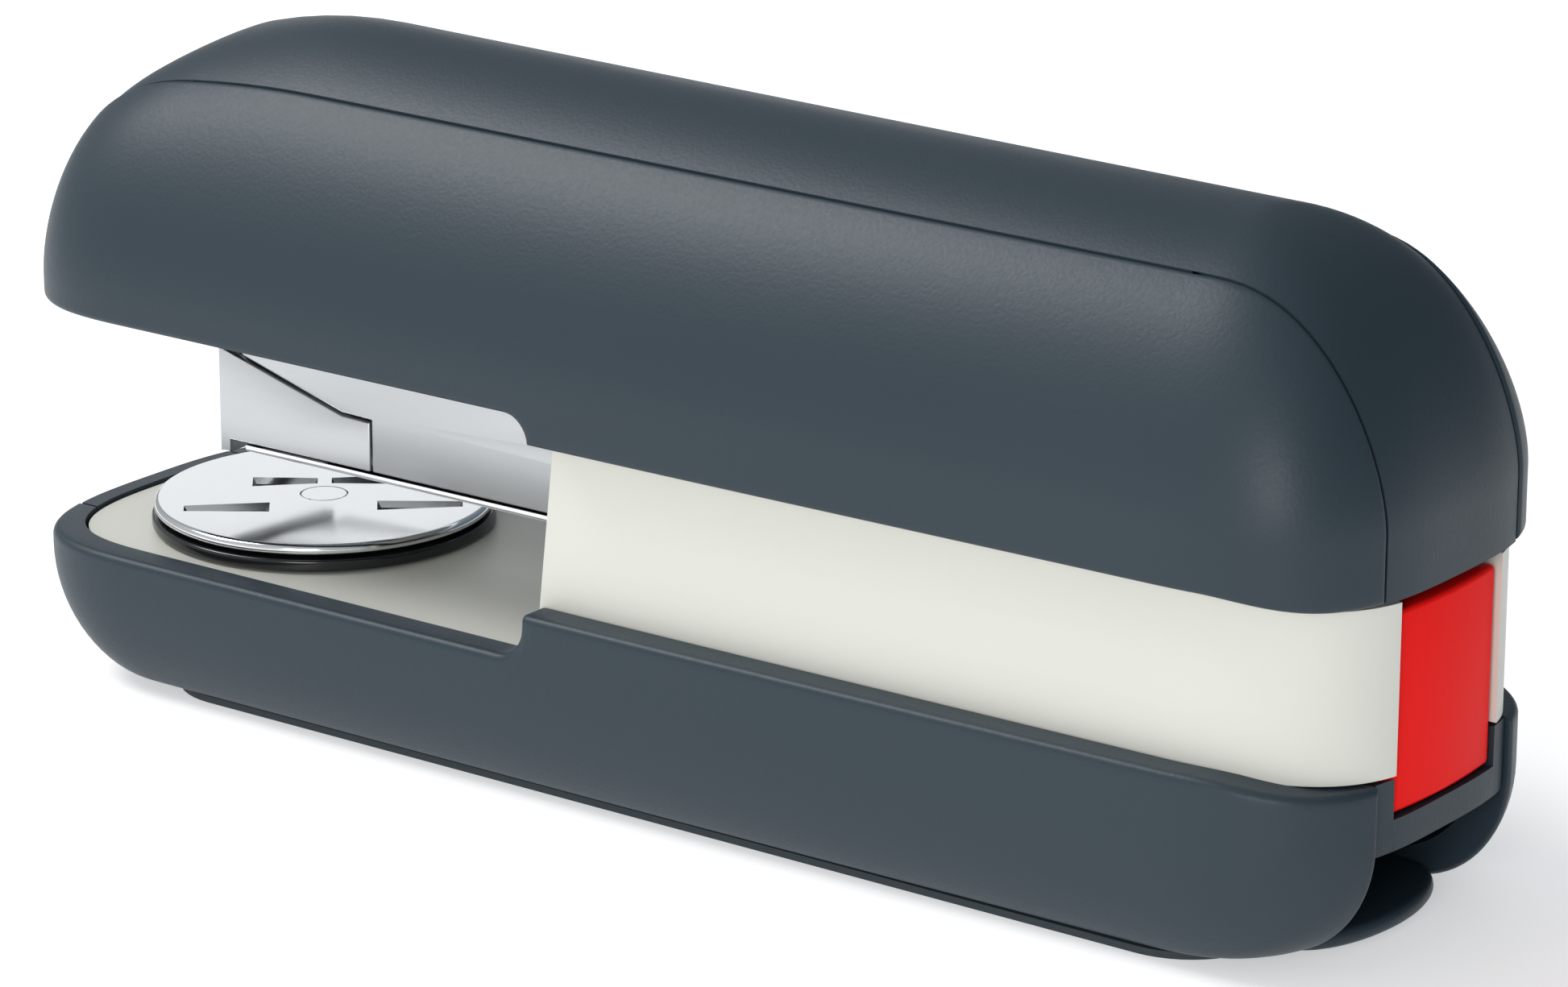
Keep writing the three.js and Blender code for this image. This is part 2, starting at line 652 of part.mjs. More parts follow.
const rivetProfile = [
  [0, rivetFoot - RIVET_FLANGE_T],
  [RIVET_R + RIVET_FLANGE, rivetFoot - RIVET_FLANGE_T],
  [RIVET_R + RIVET_FLANGE, rivetFoot],
  [RIVET_R, rivetFoot],
  [RIVET_R, ANVIL_TOP],
  [0, ANVIL_TOP],
];
add("anvil_rivet", atAnvil(lathe(rivetProfile, 24)), CHROME);
const washerProfile = [
  [RIVET_R + GAP, rivetFoot + GAP + WASHER_T * 0.4],
  [RIVET_R + WASHER_RIM, rivetFoot + GAP],
  [RIVET_R + WASHER_RIM, rivetFoot + GAP + WASHER_T * 0.5],
  [RIVET_R + GAP, rivetFoot + GAP + WASHER_T],
  [RIVET_R + GAP, rivetFoot + GAP + WASHER_T * 0.4],
];
add("anvil_spring_washer", atAnvil(lathe(washerProfile, 24)), ZINC);

// ---- Pivot pin and its two clips ----
const PIN_HALF = CHASSIS_HALF + 1.8;
const clipAt = CHASSIS_HALF + GAP;
const CLIP_T = 0.8;
const GROOVE_DEPTH = 0.7;
const pinGroove = (y) =>
  rod("y", [PIVOT_X, y - 0.1, PIVOT_Z], CLIP_T + 0.2, PIVOT_R + 1, 20).subtract(
    rod("y", [PIVOT_X, y - 0.2, PIVOT_Z], CLIP_T + 0.4, PIVOT_R - GROOVE_DEPTH, 20),
  );
add(
  "pivot_pin",
  rod("y", [PIVOT_X, -PIN_HALF, PIVOT_Z], 2 * PIN_HALF, PIVOT_R, 20)
    .subtract(pinGroove(clipAt))
    .subtract(pinGroove(-clipAt - CLIP_T)),
  STEEL,
);
for (const [side, y] of [["left", -clipAt - CLIP_T + 0.05], ["right", clipAt + 0.05]]) {
  const bore = PIVOT_R - GROOVE_DEPTH + 0.25;
  const clip = rod("y", [PIVOT_X, y, PIVOT_Z], CLIP_T - 0.1, EAR_R, 20)
    .subtract(rod("y", [PIVOT_X, y - 1, PIVOT_Z], CLIP_T + 2, bore, 16))
    .subtract(block([PIVOT_X - bore, PIVOT_X + bore], [y - 1, y + CLIP_T + 1], [0, PIVOT_Z]));
  add(`pin_clip_${side}`, clip, STEEL);
}

// ---- Release button, its spring, and the latch that holds the drawer ----
const buttonPlan = new THREE.Shape();
const BUTTON_CROWN = 0.5; // how much the face bulges
const buttonEdge = BUTTON_FACE - BUTTON_CROWN;
const buttonBack = BUTTON_FACE - BUTTON_DEPTH;
buttonPlan.moveTo(buttonBack, -BUTTON_HALF);
buttonPlan.lineTo(buttonEdge, -BUTTON_HALF);
buttonPlan.quadraticCurveTo(BUTTON_FACE + BUTTON_CROWN, 0, buttonEdge, BUTTON_HALF);
buttonPlan.lineTo(buttonBack, BUTTON_HALF);
const BUTTON_WALL = 1.8;
const buttonHollow = block(
  [buttonBack - 1, buttonEdge - BUTTON_WALL],
  [-BUTTON_HALF + BUTTON_WALL, BUTTON_HALF - BUTTON_WALL],
  [BUTTON_LOW + BUTTON_WALL, BUTTON_HIGH - BUTTON_WALL],
);
const STEM_END = LATCH_X + 1.9;
const STEM_TIP_LOW = STEM_HIGH - 1.4;
const STEM_TIP_L = 4;
const stem = join(
  block([STEM_END + STEM_TIP_L, BUTTON_FACE - 1], [-STEM_HALF, STEM_HALF], [STEM_LOW, STEM_HIGH]),
  block([STEM_END, STEM_END + STEM_TIP_L + 1], [-STEM_HALF, STEM_HALF], [STEM_TIP_LOW, STEM_HIGH]),
);
add(
  "release_button",
  slab(buttonPlan, BUTTON_LOW, BUTTON_HIGH, 10).subtract(buttonHollow).add(stem),
  RED,
);
const BUTTON_SPRING_Z = 28.4;
const BUTTON_COIL_R = 1.9;
const BUTTON_WIRE = 0.6;
const springFace = buttonEdge - BUTTON_WALL - GAP;
const springSeat = CROSS_WALL[1] + BUTTON_TRAVEL + GAP; // compressed, so it clears the wall at full travel
add(
  "button_spring",
  solid(
    coil(BUTTON_COIL_R, BUTTON_WIRE, springFace - springSeat, 5)
      .rotateY(Math.PI / 2)
      .translate(springSeat, 0, BUTTON_SPRING_Z),
  ),
  STEEL,
);
const HOOK_TOP = MAG_BOTTOM - TAB_DROP - GAP; // just below the tab, so that the drawer can pass
const HOOK_T = 1.4;
const hookRear = RAIL_REAR - TAB_T - GAP;
const LATCH_ARM = 1.6;
const LATCH_HALF = 2.8;
const latchArm = outline([
  [LATCH_X - LATCH_ARM, LATCH_Z],
  [LATCH_X + LATCH_ARM, LATCH_Z],
  [LATCH_X + LATCH_ARM, STEM_HIGH - 0.2],
  [LATCH_X + LATCH_ARM / 4, STEM_HIGH - 0.2],
]);
const latchHook = outline([
  [LATCH_X, LATCH_Z - LATCH_ARM],
  [LATCH_X, LATCH_Z + LATCH_ARM],
  [hookRear, LATCH_Z + LATCH_ARM / 2],
  [hookRear, HOOK_TOP],
  [hookRear - HOOK_T, HOOK_TOP],
  [hookRear - HOOK_T - 0.4, LATCH_Z + 0.2],
]);
const latchHub = rod("y", [LATCH_X, -LATCH_HALF, LATCH_Z], 2 * LATCH_HALF, LATCH_LUG_R, 20);
add(
  "drawer_latch",
  join(
    sideCut(latchArm, [-LATCH_HALF, LATCH_HALF]),
    sideCut(latchHook, [-LATCH_HALF, LATCH_HALF]),
    latchHub,
  ).subtract(latchBore),
  STEEL,
);
add(
  "latch_pin",
  rod("y", [LATCH_X, -CHASSIS_HALF, LATCH_Z], 2 * CHASSIS_HALF, LATCH_PIN_R, 16),
  STEEL,
);

// ---- Magazine housing: inverted steel channel hung on the pivot pin ----
const HEAD_LOW = 28.2; // the drawer head's upper edge, where it stops falling
const HEAD_SLOPE = 4.2 / 15.5;
const headLine = [
  [MAG_FRONT, HEAD_LOW + 4.2],
  [HEAD_REAR - 3.4, HEAD_LOW],
  [HEAD_REAR, HEAD_LOW - 0.1],
  [HEAD_REAR, LOW],
];
const housingFront = DRIVER_X + DRIVER_T / 2 + GAP;
const HOUSING_REAR = 50;
const HOUSING_END_R = 3.8;
const housingSide = new THREE.Shape();
housingSide.moveTo(housingFront, HOUSING_TOP);
housingSide.lineTo(housingFront, headLine[0][1] - (housingFront - MAG_FRONT) * HEAD_SLOPE + GAP + 0.1);
housingSide.lineTo(headLine[1][0], headLine[1][1] + GAP);
housingSide.lineTo(HEAD_REAR + GAP, headLine[2][1] + GAP);
housingSide.lineTo(HEAD_REAR + GAP, HOUSING_BOTTOM);
housingSide.lineTo(HOUSING_REAR, HOUSING_BOTTOM);
housingSide.lineTo(PIVOT_X, PIVOT_Z - HOUSING_END_R);
housingSide.absarc(PIVOT_X, PIVOT_Z, HOUSING_END_R, -Math.PI / 2, Math.PI / 2, false);
housingSide.lineTo(HOUSING_REAR, HOUSING_TOP);
const springTab = block(
  [HOUSING_REAR + 0.4, HOUSING_REAR + 1.6],
  [-HOUSING_HALF + 0.1, HOUSING_HALF - 0.1],
  [STEM_HIGH + 0.9, HOUSING_TOP],
);
const topPlate = block(
  [housingFront, HOUSING_REAR + 1.6],
  [-HOUSING_HALF, HOUSING_HALF],
  [HOUSING_TOP - THIN_SHEET, HOUSING_TOP],
);
add(
  "magazine_housing",
  join(plates(housingSide, [HOUSING_INNER, HOUSING_HALF]), topPlate, springTab).subtract(pivotHole),
  STEEL,
);

// ---- Staple drawer: rail with its lips, steel head, rod, spring and pusher ----
const railWalls = join(
  block([RAIL_FRONT, RAIL_REAR], [RAIL_HALF - RAIL_T, RAIL_HALF], [MAG_BOTTOM, RAIL_TOP]),
  block([RAIL_FRONT, RAIL_REAR], [-RAIL_HALF, -RAIL_HALF + RAIL_T], [MAG_BOTTOM, RAIL_TOP]),
);
const railEnds = join(
  block([RAIL_FRONT, RAIL_FRONT + RAIL_END_T], [-RAIL_HALF, RAIL_HALF], [MAG_BOTTOM, RAIL_TOP - GAP]),
  block(
    [RAIL_REAR - TAB_T, RAIL_REAR],
    [-RAIL_HALF, RAIL_HALF],
    [MAG_BOTTOM - TAB_DROP, RAIL_TOP - GAP],
  ),
);
const railFloor = block(
  [RAIL_FRONT, RAIL_REAR],
  [-HOUSING_HALF + 0.15, HOUSING_HALF - 0.15],
  [MAG_BOTTOM, RAIL_FLOOR],
);
const hookSlot = block(
  [hookRear - HOOK_T - 1.6, RAIL_REAR - TAB_T],
  [-LATCH_HALF - 2 * GAP, LATCH_HALF + 2 * GAP],
  [LOW, MAG_BOTTOM - 0.01],
);
const rodHole = rod("x", [-FAR, 0, ROD_Z], 2 * FAR, ROD_R + 0.25, 12);
add(
  "drawer_rail",
  join(railWalls, railFloor, railEnds).subtract(rodHole).subtract(hookSlot),
  STEEL,
);
const FRONT_PLATE_T = 1.2;
const cheek = outline([
  [MAG_FRONT, MAG_BOTTOM - 0.5],
  [MAG_FRONT + FRONT_PLATE_T, MAG_BOTTOM - 0.5],
  [MAG_FRONT + FRONT_PLATE_T, HOUSING_BOTTOM],
  [HEAD_REAR, HOUSING_BOTTOM],
  [HEAD_REAR, headLine[2][1]],
  headLine[1],
  headLine[0],
]);
const frontPlate = block(
  [MAG_FRONT, MAG_FRONT + FRONT_PLATE_T],
  [-HOUSING_HALF, HOUSING_HALF],
  [MAG_BOTTOM - 0.5, headLine[0][1] - FRONT_PLATE_T * HEAD_SLOPE],
);
add("drawer_head", join(plates(cheek, [HOUSING_INNER, HOUSING_HALF]), frontPlate), STEEL);
add(
  "pusher_rod",
  rod("x", [RAIL_FRONT + 0.1, 0, ROD_Z], RAIL_REAR - RAIL_FRONT - 0.2, ROD_R, 12),
  STEEL,
);
const PUSHER_COIL_R = 2;
const PUSHER_WIRE = 0.7;
const PUSHER_SPRING_L = 22;
add(
  "pusher_spring",
  solid(
    coil(PUSHER_COIL_R, PUSHER_WIRE, PUSHER_SPRING_L, 11)
      .rotateY(Math.PI / 2)
      .translate(RAIL_REAR - TAB_T - GAP - PUSHER_SPRING_L, 0, ROD_Z),
  ),
  STEEL,
);
const pusherFront = RAIL_FRONT + RAIL_END_T + GAP;
const pusherRun = [pusherFront, pusherFront + PUSHER_L];
const SKIRT_T = 0.4;
const PUSHER_CORE = PUSHER_COIL_R + PUSHER_WIRE - 0.1;
const skirtHalf = HOUSING_INNER - 0.2;
const pusher = join(
  block(pusherRun, [-skirtHalf, skirtHalf], [RAIL_TOP + GAP, RAIL_TOP + GAP + RAIL_T]),
  block(pusherRun, [skirtHalf - SKIRT_T, skirtHalf], [RAIL_FLOOR + GAP, RAIL_TOP + 0.5]),
  block(pusherRun, [-skirtHalf, -skirtHalf + SKIRT_T], [RAIL_FLOOR + GAP, RAIL_TOP + 0.5]),
  block(pusherRun, [-PUSHER_CORE, PUSHER_CORE], [RAIL_FLOOR + GAP, RAIL_TOP + 0.5]),
).subtract(rodHole);
add("staple_pusher", pusher, ZINC);

// ---- Driver blade, with the window that the lever's tongue works in ----
const TONGUE_HALF = 3.4;
const LEVER_TONGUE = [5.2, 2.6]; // bottom and top of the lever's tongue, below its plate
const tongueZ = LEVER_TONGUE.map((drop) => LEVER_TOP - drop);
add(
  "driver_blade",
  block(
    [DRIVER_X - DRIVER_T / 2, DRIVER_X + DRIVER_T / 2],
    [-DRIVER_HALF, DRIVER_HALF],
    [DRIVER_TIP, DRIVER_TOP],
  ).subtract(
    block(
      [DRIVER_X - 2, DRIVER_X + 2],
      [-TONGUE_HALF - 0.4, TONGUE_HALF + 0.4],
      [tongueZ[0] - 0.55, tongueZ[1] + 0.55],
    ),
  ),
  STEEL,
);

// ---- Handle: steel lever inside two side shells and the middle band ----
const LEVER_FRONT = DRIVER_X + DRIVER_T / 2 + 2.4;
const leverSide = new THREE.Shape();
leverSide.moveTo(LEVER_FRONT, LEVER_TOP);
leverSide.lineTo(LEVER_FRONT, LEVER_SKIRT);
leverSide.lineTo(PIVOT_X - 16, LEVER_SKIRT);
leverSide.lineTo(PIVOT_X - EAR_R, PIVOT_Z);
leverSide.absarc(PIVOT_X, PIVOT_Z, EAR_R, Math.PI, 2 * Math.PI, false);
leverSide.lineTo(PIVOT_X + EAR_R, LEVER_TOP);
const leverTongue = block([DRIVER_X - 3, LEVER_FRONT + 1], [-TONGUE_HALF, TONGUE_HALF], tongueZ);
const leverFrontWall = block(
  [LEVER_FRONT, LEVER_FRONT + SHEET],
  [-LEVER_HALF, LEVER_HALF],
  [tongueZ[0], LEVER_TOP],
);
const HANDLE_SCREW_XS = [-36, 36];
const leverScrewHoles = join(
  ...HANDLE_SCREW_XS.map((x) => rod("z", [x, 0, LEVER_SKIRT], HIGH - LEVER_SKIRT, SCREW_R + GAP, 16)),
);
add(
  "handle_lever",
  join(
    plates(leverSide, [LEVER_HALF - SHEET, LEVER_HALF]),
    block([LEVER_FRONT, PIVOT_X + EAR_R], [-LEVER_HALF, LEVER_HALF], [LEVER_TOP - SHEET, LEVER_TOP]),
    leverFrontWall,
    leverTongue,
  )
    .subtract(pivotHole)
    .subtract(leverScrewHoles),
  ZINC,
);

const edgeCut = new THREE.Shape();
edgeCut.moveTo(-FAR, LOW);
edgeCut.lineTo(HANDLE_STEP_X, LOW);
edgeCut.lineTo(HANDLE_STEP_X, HANDLE_EDGE);
edgeCut.absarc(
  HANDLE_STEP_X - HANDLE_STEP_R,
  HANDLE_EDGE_FRONT - HANDLE_STEP_R,
  HANDLE_STEP_R,
  0,
  Math.PI / 2,
  false,
);
edgeCut.lineTo(-FAR, HANDLE_EDGE_FRONT);
const underEdge = sideCut(edgeCut, [-FAR, FAR]);
const handleCavity = handleForm(HANDLE_WALL, LOW);
const handleShell = handleForm(0, HANDLE_EDGE).subtract(underEdge).subtract(handleCavity);
add("handle_side_left", handleShell.intersect(leftBlock(LOW, HIGH)), SLATE);
add("handle_side_right", handleShell.intersect(rightBlock(LOW, HIGH)), SLATE);
const POST_R = 4;
const POST_HOLE_L = 7.5;
const postBottom = LEVER_TOP + GAP;
const handlePosts = join(
  ...HANDLE_SCREW_XS.map((x) => rod("z", [x, 0, postBottom], HANDLE_TOP - 2 - postBottom, POST_R, 20)),
).intersect(handleForm(HANDLE_BAND_DEPTH + 0.5, LOW));
const postHoles = join(
  ...HANDLE_SCREW_XS.map((x) => rod("z", [x, 0, postBottom - 1], POST_HOLE_L + 1, SCREW_R + GAP, 16)),
);
add(
  "handle_band",
  handleForm(HANDLE_BAND_DEPTH, HANDLE_EDGE)
    .subtract(underEdge)
    .subtract(handleForm(HANDLE_BAND_DEPTH + HANDLE_WALL, LOW))
    .intersect(bandBlock(LOW, HIGH))
    .add(handlePosts)
    .subtract(postHoles),
  SLATE,
);
for (const [i, x] of HANDLE_SCREW_XS.entries()) {
  const headTop = LEVER_TOP - SHEET - GAP;
  const head = rod("z", [x, 0, headTop - SCREW_HEAD_T], SCREW_HEAD_T, SCREW_HEAD_R);
  const shankL = postBottom + POST_HOLE_L - 1 - headTop + SCREW_HEAD_T;
  const shank = rod("z", [x, 0, headTop - SCREW_HEAD_T], shankL, SCREW_R, 16);
  add(`handle_screw_${i === 0 ? "front" : "rear"}`, head.add(shank), ZINC);
}

// ---- Return springs ----
const RETURN_X = 8;
const RETURN_COIL_R = 4.2;
const RETURN_WIRE = 1;
add(
  "return_spring",
  solid(
    coil(RETURN_COIL_R, RETURN_WIRE, LEVER_TOP - SHEET - HOUSING_TOP - 2 * GAP, 6.5).translate(
      RETURN_X,
      0,
      HOUSING_TOP + GAP,
    ),
  ),
  STEEL,
);
const LIFT_X = 22;
const LIFT_COIL_R = 4;
const LIFT_WIRE = 0.9;
add(
  "lift_spring",
  solid(
    coil(LIFT_COIL_R, LIFT_WIRE, MAG_BOTTOM - DECK_TOP - 2 * GAP, 4.5).translate(LIFT_X, 0, DECK_TOP + GAP),
  ),
  STEEL,
);

export default stapler;
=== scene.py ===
import json
import math

import bmesh
import bpy
import numpy as np
from mathutils import Matrix, Vector


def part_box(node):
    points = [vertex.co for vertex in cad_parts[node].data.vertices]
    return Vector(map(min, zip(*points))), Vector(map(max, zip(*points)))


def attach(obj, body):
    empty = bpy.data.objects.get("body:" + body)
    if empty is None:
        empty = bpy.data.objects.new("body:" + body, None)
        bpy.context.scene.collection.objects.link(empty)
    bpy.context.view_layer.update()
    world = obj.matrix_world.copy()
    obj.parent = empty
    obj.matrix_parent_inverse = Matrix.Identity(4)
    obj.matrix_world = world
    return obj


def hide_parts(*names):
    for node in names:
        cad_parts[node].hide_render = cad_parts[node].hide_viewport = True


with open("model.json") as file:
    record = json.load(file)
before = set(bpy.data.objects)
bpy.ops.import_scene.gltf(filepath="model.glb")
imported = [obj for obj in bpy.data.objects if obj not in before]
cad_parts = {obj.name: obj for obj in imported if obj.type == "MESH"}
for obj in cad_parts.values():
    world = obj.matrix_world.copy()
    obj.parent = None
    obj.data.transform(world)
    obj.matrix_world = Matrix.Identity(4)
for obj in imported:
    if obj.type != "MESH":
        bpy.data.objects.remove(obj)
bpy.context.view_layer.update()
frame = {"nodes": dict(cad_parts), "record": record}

# ---- Room ----
# A pale floor that runs far past the stapler, soft light from large panels, and a long lens from
# the button's side, a little above the handle.
MM = 0.001
WELD = 2e-6  # points closer than this, in metres, become one
scene = bpy.context.scene
scene.view_settings.view_transform = "Standard"

CAMERA_AT = (0.318678, -0.421977, 0.194589)
CAMERA_TURN = 36.738
CAMERA_RISE = 17.607
CAMERA_ROLL = 0.075
LENS = 138.94


def looking_back(turn, rise):
    """The direction from the object to a camera or lamp at that bearing and height, in degrees."""
    a, e = math.radians(turn), math.radians(rise)
    return Vector((math.sin(a) * math.cos(e), -math.cos(a) * math.cos(e), math.sin(e)))


camera = bpy.data.objects.new("camera", bpy.data.cameras.new("camera"))
scene.collection.objects.link(camera)
scene.camera = camera
camera.data.lens = LENS
camera.data.clip_start = 0.01
camera.location = CAMERA_AT
back = looking_back(CAMERA_TURN, CAMERA_RISE)
aim = (-back).to_track_quat("-Z", "Y").to_matrix().to_4x4()
camera.rotation_euler = (aim @ Matrix.Rotation(math.radians(CAMERA_ROLL), 4, "Z")).to_euler()


LAMPS_FACE = Vector((0, 0, 0.03))


def lamp(name, turn, rise, distance, size, power):
    """A square soft panel that faces the middle of the stapler."""
    data = bpy.data.lights.new(name, "AREA")
    data.size = size
    data.energy = power
    panel = bpy.data.objects.new(name, data)
    scene.collection.objects.link(panel)
    way = looking_back(turn, rise)
    panel.location = LAMPS_FACE + way * distance
    panel.rotation_euler = (-way).to_track_quat("-Z", "Y").to_euler()


lamp("key_panel", -66, 50, 0.8, 0.34, 3.9)
lamp("front_panel", 22, 14, 0.9, 0.3, 2.4)
lamp("far_panel", -138, 12, 0.9, 0.36, 0.28)

LIGHT_SIDE = (-0.55, -0.83, 0.1)
SKY_DARK = (0.10, 0.14, 0.17, 1)
SKY_PALE = (0.62, 0.63, 0.64, 1)
world = bpy.data.worlds.new("studio")
scene.world = world
world.use_nodes = True
air = world.node_tree.nodes["Background"]
air.inputs["Strength"].default_value = 1.0
heading = world.node_tree.nodes.new("ShaderNodeTexCoord").outputs["Generated"]
light_share = world.node_tree.nodes.new("ShaderNodeVectorMath")
light_share.operation = "DOT_PRODUCT"
light_share.inputs[1].default_value = LIGHT_SIDE
world.node_tree.links.new(heading, light_share.inputs[0])
sky_share = world.node_tree.nodes.new("ShaderNodeMapRange")
sky_share.inputs["From Min"].default_value = -1.0
world.node_tree.links.new(light_share.outputs["Value"], sky_share.inputs["Value"])
sky = world.node_tree.nodes.new("ShaderNodeValToRGB")
sky.color_ramp.elements[0].color = SKY_DARK
sky.color_ramp.elements[1].color = SKY_PALE
world.node_tree.links.new(sky_share.outputs["Result"], sky.inputs["Fac"])
world.node_tree.links.new(sky.outputs["Color"], air.inputs["Color"])


def node_material(name, metallic=0.0, roughness=0.5):
    """A material with its Principled shader, the tree's links and the Object coordinates."""
    material = bpy.data.materials.new(name)
    material.use_nodes = True
    tree = material.node_tree
    shader = tree.nodes["Principled BSDF"]
    shader.inputs["Metallic"].default_value = metallic
    shader.inputs["Roughness"].default_value = roughness
    coordinates = tree.nodes.new("ShaderNodeTexCoord").outputs["Object"]
    return material, tree, shader, coordinates


FLOOR_HALF = 6.0
FLOOR_DARK = (0.78, 0.78, 0.78, 1)
FLOOR_PALE = (0.80, 0.80, 0.80, 1)
FLOOR_GLOW = 0.46
floor_paint, tree, shader, coordinates = node_material("floor_paint", roughness=0.9)
speckle = tree.nodes.new("ShaderNodeTexNoise")
speckle.inputs["Scale"].default_value = 6.0
tree.links.new(coordinates, speckle.inputs["Vector"])
tones = tree.nodes.new("ShaderNodeValToRGB")
tones.color_ramp.elements[0].color = FLOOR_DARK
tones.color_ramp.elements[1].color = FLOOR_PALE
tree.links.new(speckle.outputs["Fac"], tones.inputs["Fac"])
tree.links.new(tones.outputs["Color"], shader.inputs["Base Color"])
shader.inputs["Emission Color"].default_value = (1, 1, 1, 1)
shader.inputs["Emission Strength"].default_value = FLOOR_GLOW
floor_corners = [
    (-FLOOR_HALF, -FLOOR_HALF, 0),
    (FLOOR_HALF, -FLOOR_HALF, 0),
    (FLOOR_HALF, FLOOR_HALF, 0),
    (-FLOOR_HALF, FLOOR_HALF, 0),
]
floor_mesh = bpy.data.meshes.new("floor")
floor_mesh.from_pydata(floor_corners, [], [(0, 1, 2, 3)])
floor_mesh.materials.append(floor_paint)
floor = bpy.data.objects.new("floor", floor_mesh)
scene.collection.objects.link(floor)

# ---- Base side shells ----
# Two moulded shells of soft-touch slate plastic that make the sides, rounded bottom and rim of the
# base. They clip to the middle band, and stand a little proud of it.
NOSE_TIP = 0.5
NOSE_X = -75 - NOSE_TIP
REAR_X = 75.0
NOSE_DEPTH = 18.0
TAIL_DEPTH = 20.6
NOSE_START = NOSE_X + NOSE_DEPTH
TAIL_START = REAR_X - TAIL_DEPTH
NOSE_POWER = 3.1
TAIL_POWER = 3.2
HALF_WIDTH = 21.4
REAR_TAPER = 0.04
TAPER_START = -10.2
GAP = 0.3
BAND_HALF = 10.76
CUT = BAND_HALF + GAP / 2
# Distances from an edge at which a surface has a row of points, so that its rounding is smooth.
NEAR_EDGE = np.array([0.0, 0.03, 0.09, 0.18, 0.3, 0.46, 0.7])


def taper(x):
    """Share of its full width that the body has at x."""
    t = np.clip((x - TAPER_START) / (REAR_X - TAPER_START), 0, 1)
    return 1 - REAR_TAPER * t * t * (3 - 2 * t)


def rounded_end(start, sign, depth, half, cut, power, steps):
    """One rounded end of the plan outline, from the cut to where the straight side begins."""
    near = cut + np.minimum(NEAR_EDGE, (half - cut) * NEAR_EDGE / NEAR_EDGE[-1] * 0.4)
    angle = np.arccos(np.clip(near / half, 0, 1) ** (power / 2))
    angle = np.concatenate([angle, np.linspace(angle[-1], 0, steps)[1:]])
    x = start + sign * depth * np.sin(angle) ** (2 / power)
    y = half * np.cos(angle) ** (2 / power)
    return np.stack([x, np.maximum(y, cut)], -1)


def plan_row(half, nose, tail, side_x, cut=CUT, steps=30):
    """The plan outline at one level, from the cut at the nose round the side to the cut at the tail."""
    front = rounded_end(NOSE_START, -1, nose, half, cut, NOSE_POWER, steps)
    rear = rounded_end(TAIL_START, 1, tail, half, cut, TAIL_POWER, steps)[::-1]
    side = np.stack([side_x, np.full(len(side_x), half)], -1)
    row = np.concatenate([front, side, rear])
    share = (HALF_WIDTH * taper(row[:, 0]) - cut) / (HALF_WIDTH - cut)
    row[:, 1] = cut + (row[:, 1] - cut) * share
    return row


def grid_normals(grid, centre):
    """Unit normals of a grid of points, pointing away from the centre."""
    along = np.gradient(grid, axis=0)
    across = np.gradient(grid, axis=1)
    normals = np.cross(along, across)
    normals /= np.maximum(np.linalg.norm(normals, axis=-1, keepdims=True), 1e-9)
    if ((grid - centre) * normals).sum() < 0:
        normals = -normals
    return normals


def edge_distance(grid, line):
    """Distance of each point from a line of x and z, measured in the side view."""
    points = grid[..., [0, 2]].reshape(-1, 1, 2)
    start, end = line[None, :-1], line[None, 1:]
    run = end - start
    share = ((points - start) * run).sum(-1) / np.maximum((run * run).sum(-1), 1e-9)
    foot = start + np.clip(share, 0, 1)[..., None] * run
    return np.linalg.norm(points - foot, axis=-1).min(1).reshape(grid.shape[:2])


def rolled(grid, centre, line, groove_r, edge_r, cut=CUT):
    """Rounds the edges of a side shell: the one along the groove and the one along the line."""
    normals = grid_normals(grid, centre)
    slope = np.sqrt(np.maximum(1 - normals[..., 1] ** 2, 1e-6))
    depth = 0
    edges = ((grid[..., 1] - cut) / slope, groove_r), (edge_distance(grid, line), edge_r)
    for distance, radius in edges:
        left = 1 - np.clip(distance / radius, 0, 1)
        depth = np.maximum(depth, radius * (1 - np.sqrt(1 - left**2)))
    grid = grid - normals * depth[..., None]
    grid[..., 1] = np.maximum(grid[..., 1], cut)
    return grid


def wall(outer, inner):
    """Points and faces of a closed wall between two grids of the same rows and columns."""
    rows, columns = outer.shape[:2]
    count = rows * columns
    at = np.arange(count).reshape(rows, columns)
    quads = np.stack([at[:-1, :-1], at[1:, :-1], at[1:, 1:], at[:-1, 1:]], -1).reshape(-1, 4)
    rim = np.concatenate([at[0, :], at[1:, -1], at[-1, -2::-1], at[-2:0:-1, 0]])
    after = np.roll(rim, -1)
    sides = np.stack([after, rim, rim + count, after + count], -1)
    points = np.concatenate([outer.reshape(-1, 3), inner.reshape(-1, 3)])
    return points, np.concatenate([quads[:, ::-1], quads + count, sides])


def smooth(mesh, crease=35):
    """Smooth shading, with edges sharper than the crease angle kept."""
    mesh.polygons.foreach_set("use_smooth", [True] * len(mesh.polygons))
    mesh.set_sharp_from_angle(angle=math.radians(crease))


def build(name, points, faces, material, crease=35):
    """An object from points in millimetres, with doubles merged and its faces turned outwards."""
    mesh = bpy.data.meshes.new(name)
    mesh.from_pydata((np.asarray(points) * MM).tolist(), [], [list(map(int, f)) for f in faces])
    shape = bmesh.new()
    shape.from_mesh(mesh)
    bmesh.ops.remove_doubles(shape, verts=shape.verts, dist=WELD)
    bmesh.ops.dissolve_degenerate(shape, edges=shape.edges, dist=1e-6)
    bmesh.ops.recalc_face_normals(shape, faces=shape.faces)
    shape.to_mesh(mesh)
    shape.free()
    smooth(mesh, crease)
    mesh.materials.append(material)
    made = bpy.data.objects.new(name, mesh)
    scene.collection.objects.link(made)
    return made


BODY_OF = {
    node: body for body, nodes in frame["record"]["behaviour"]["bodies"].items() for node in nodes
}


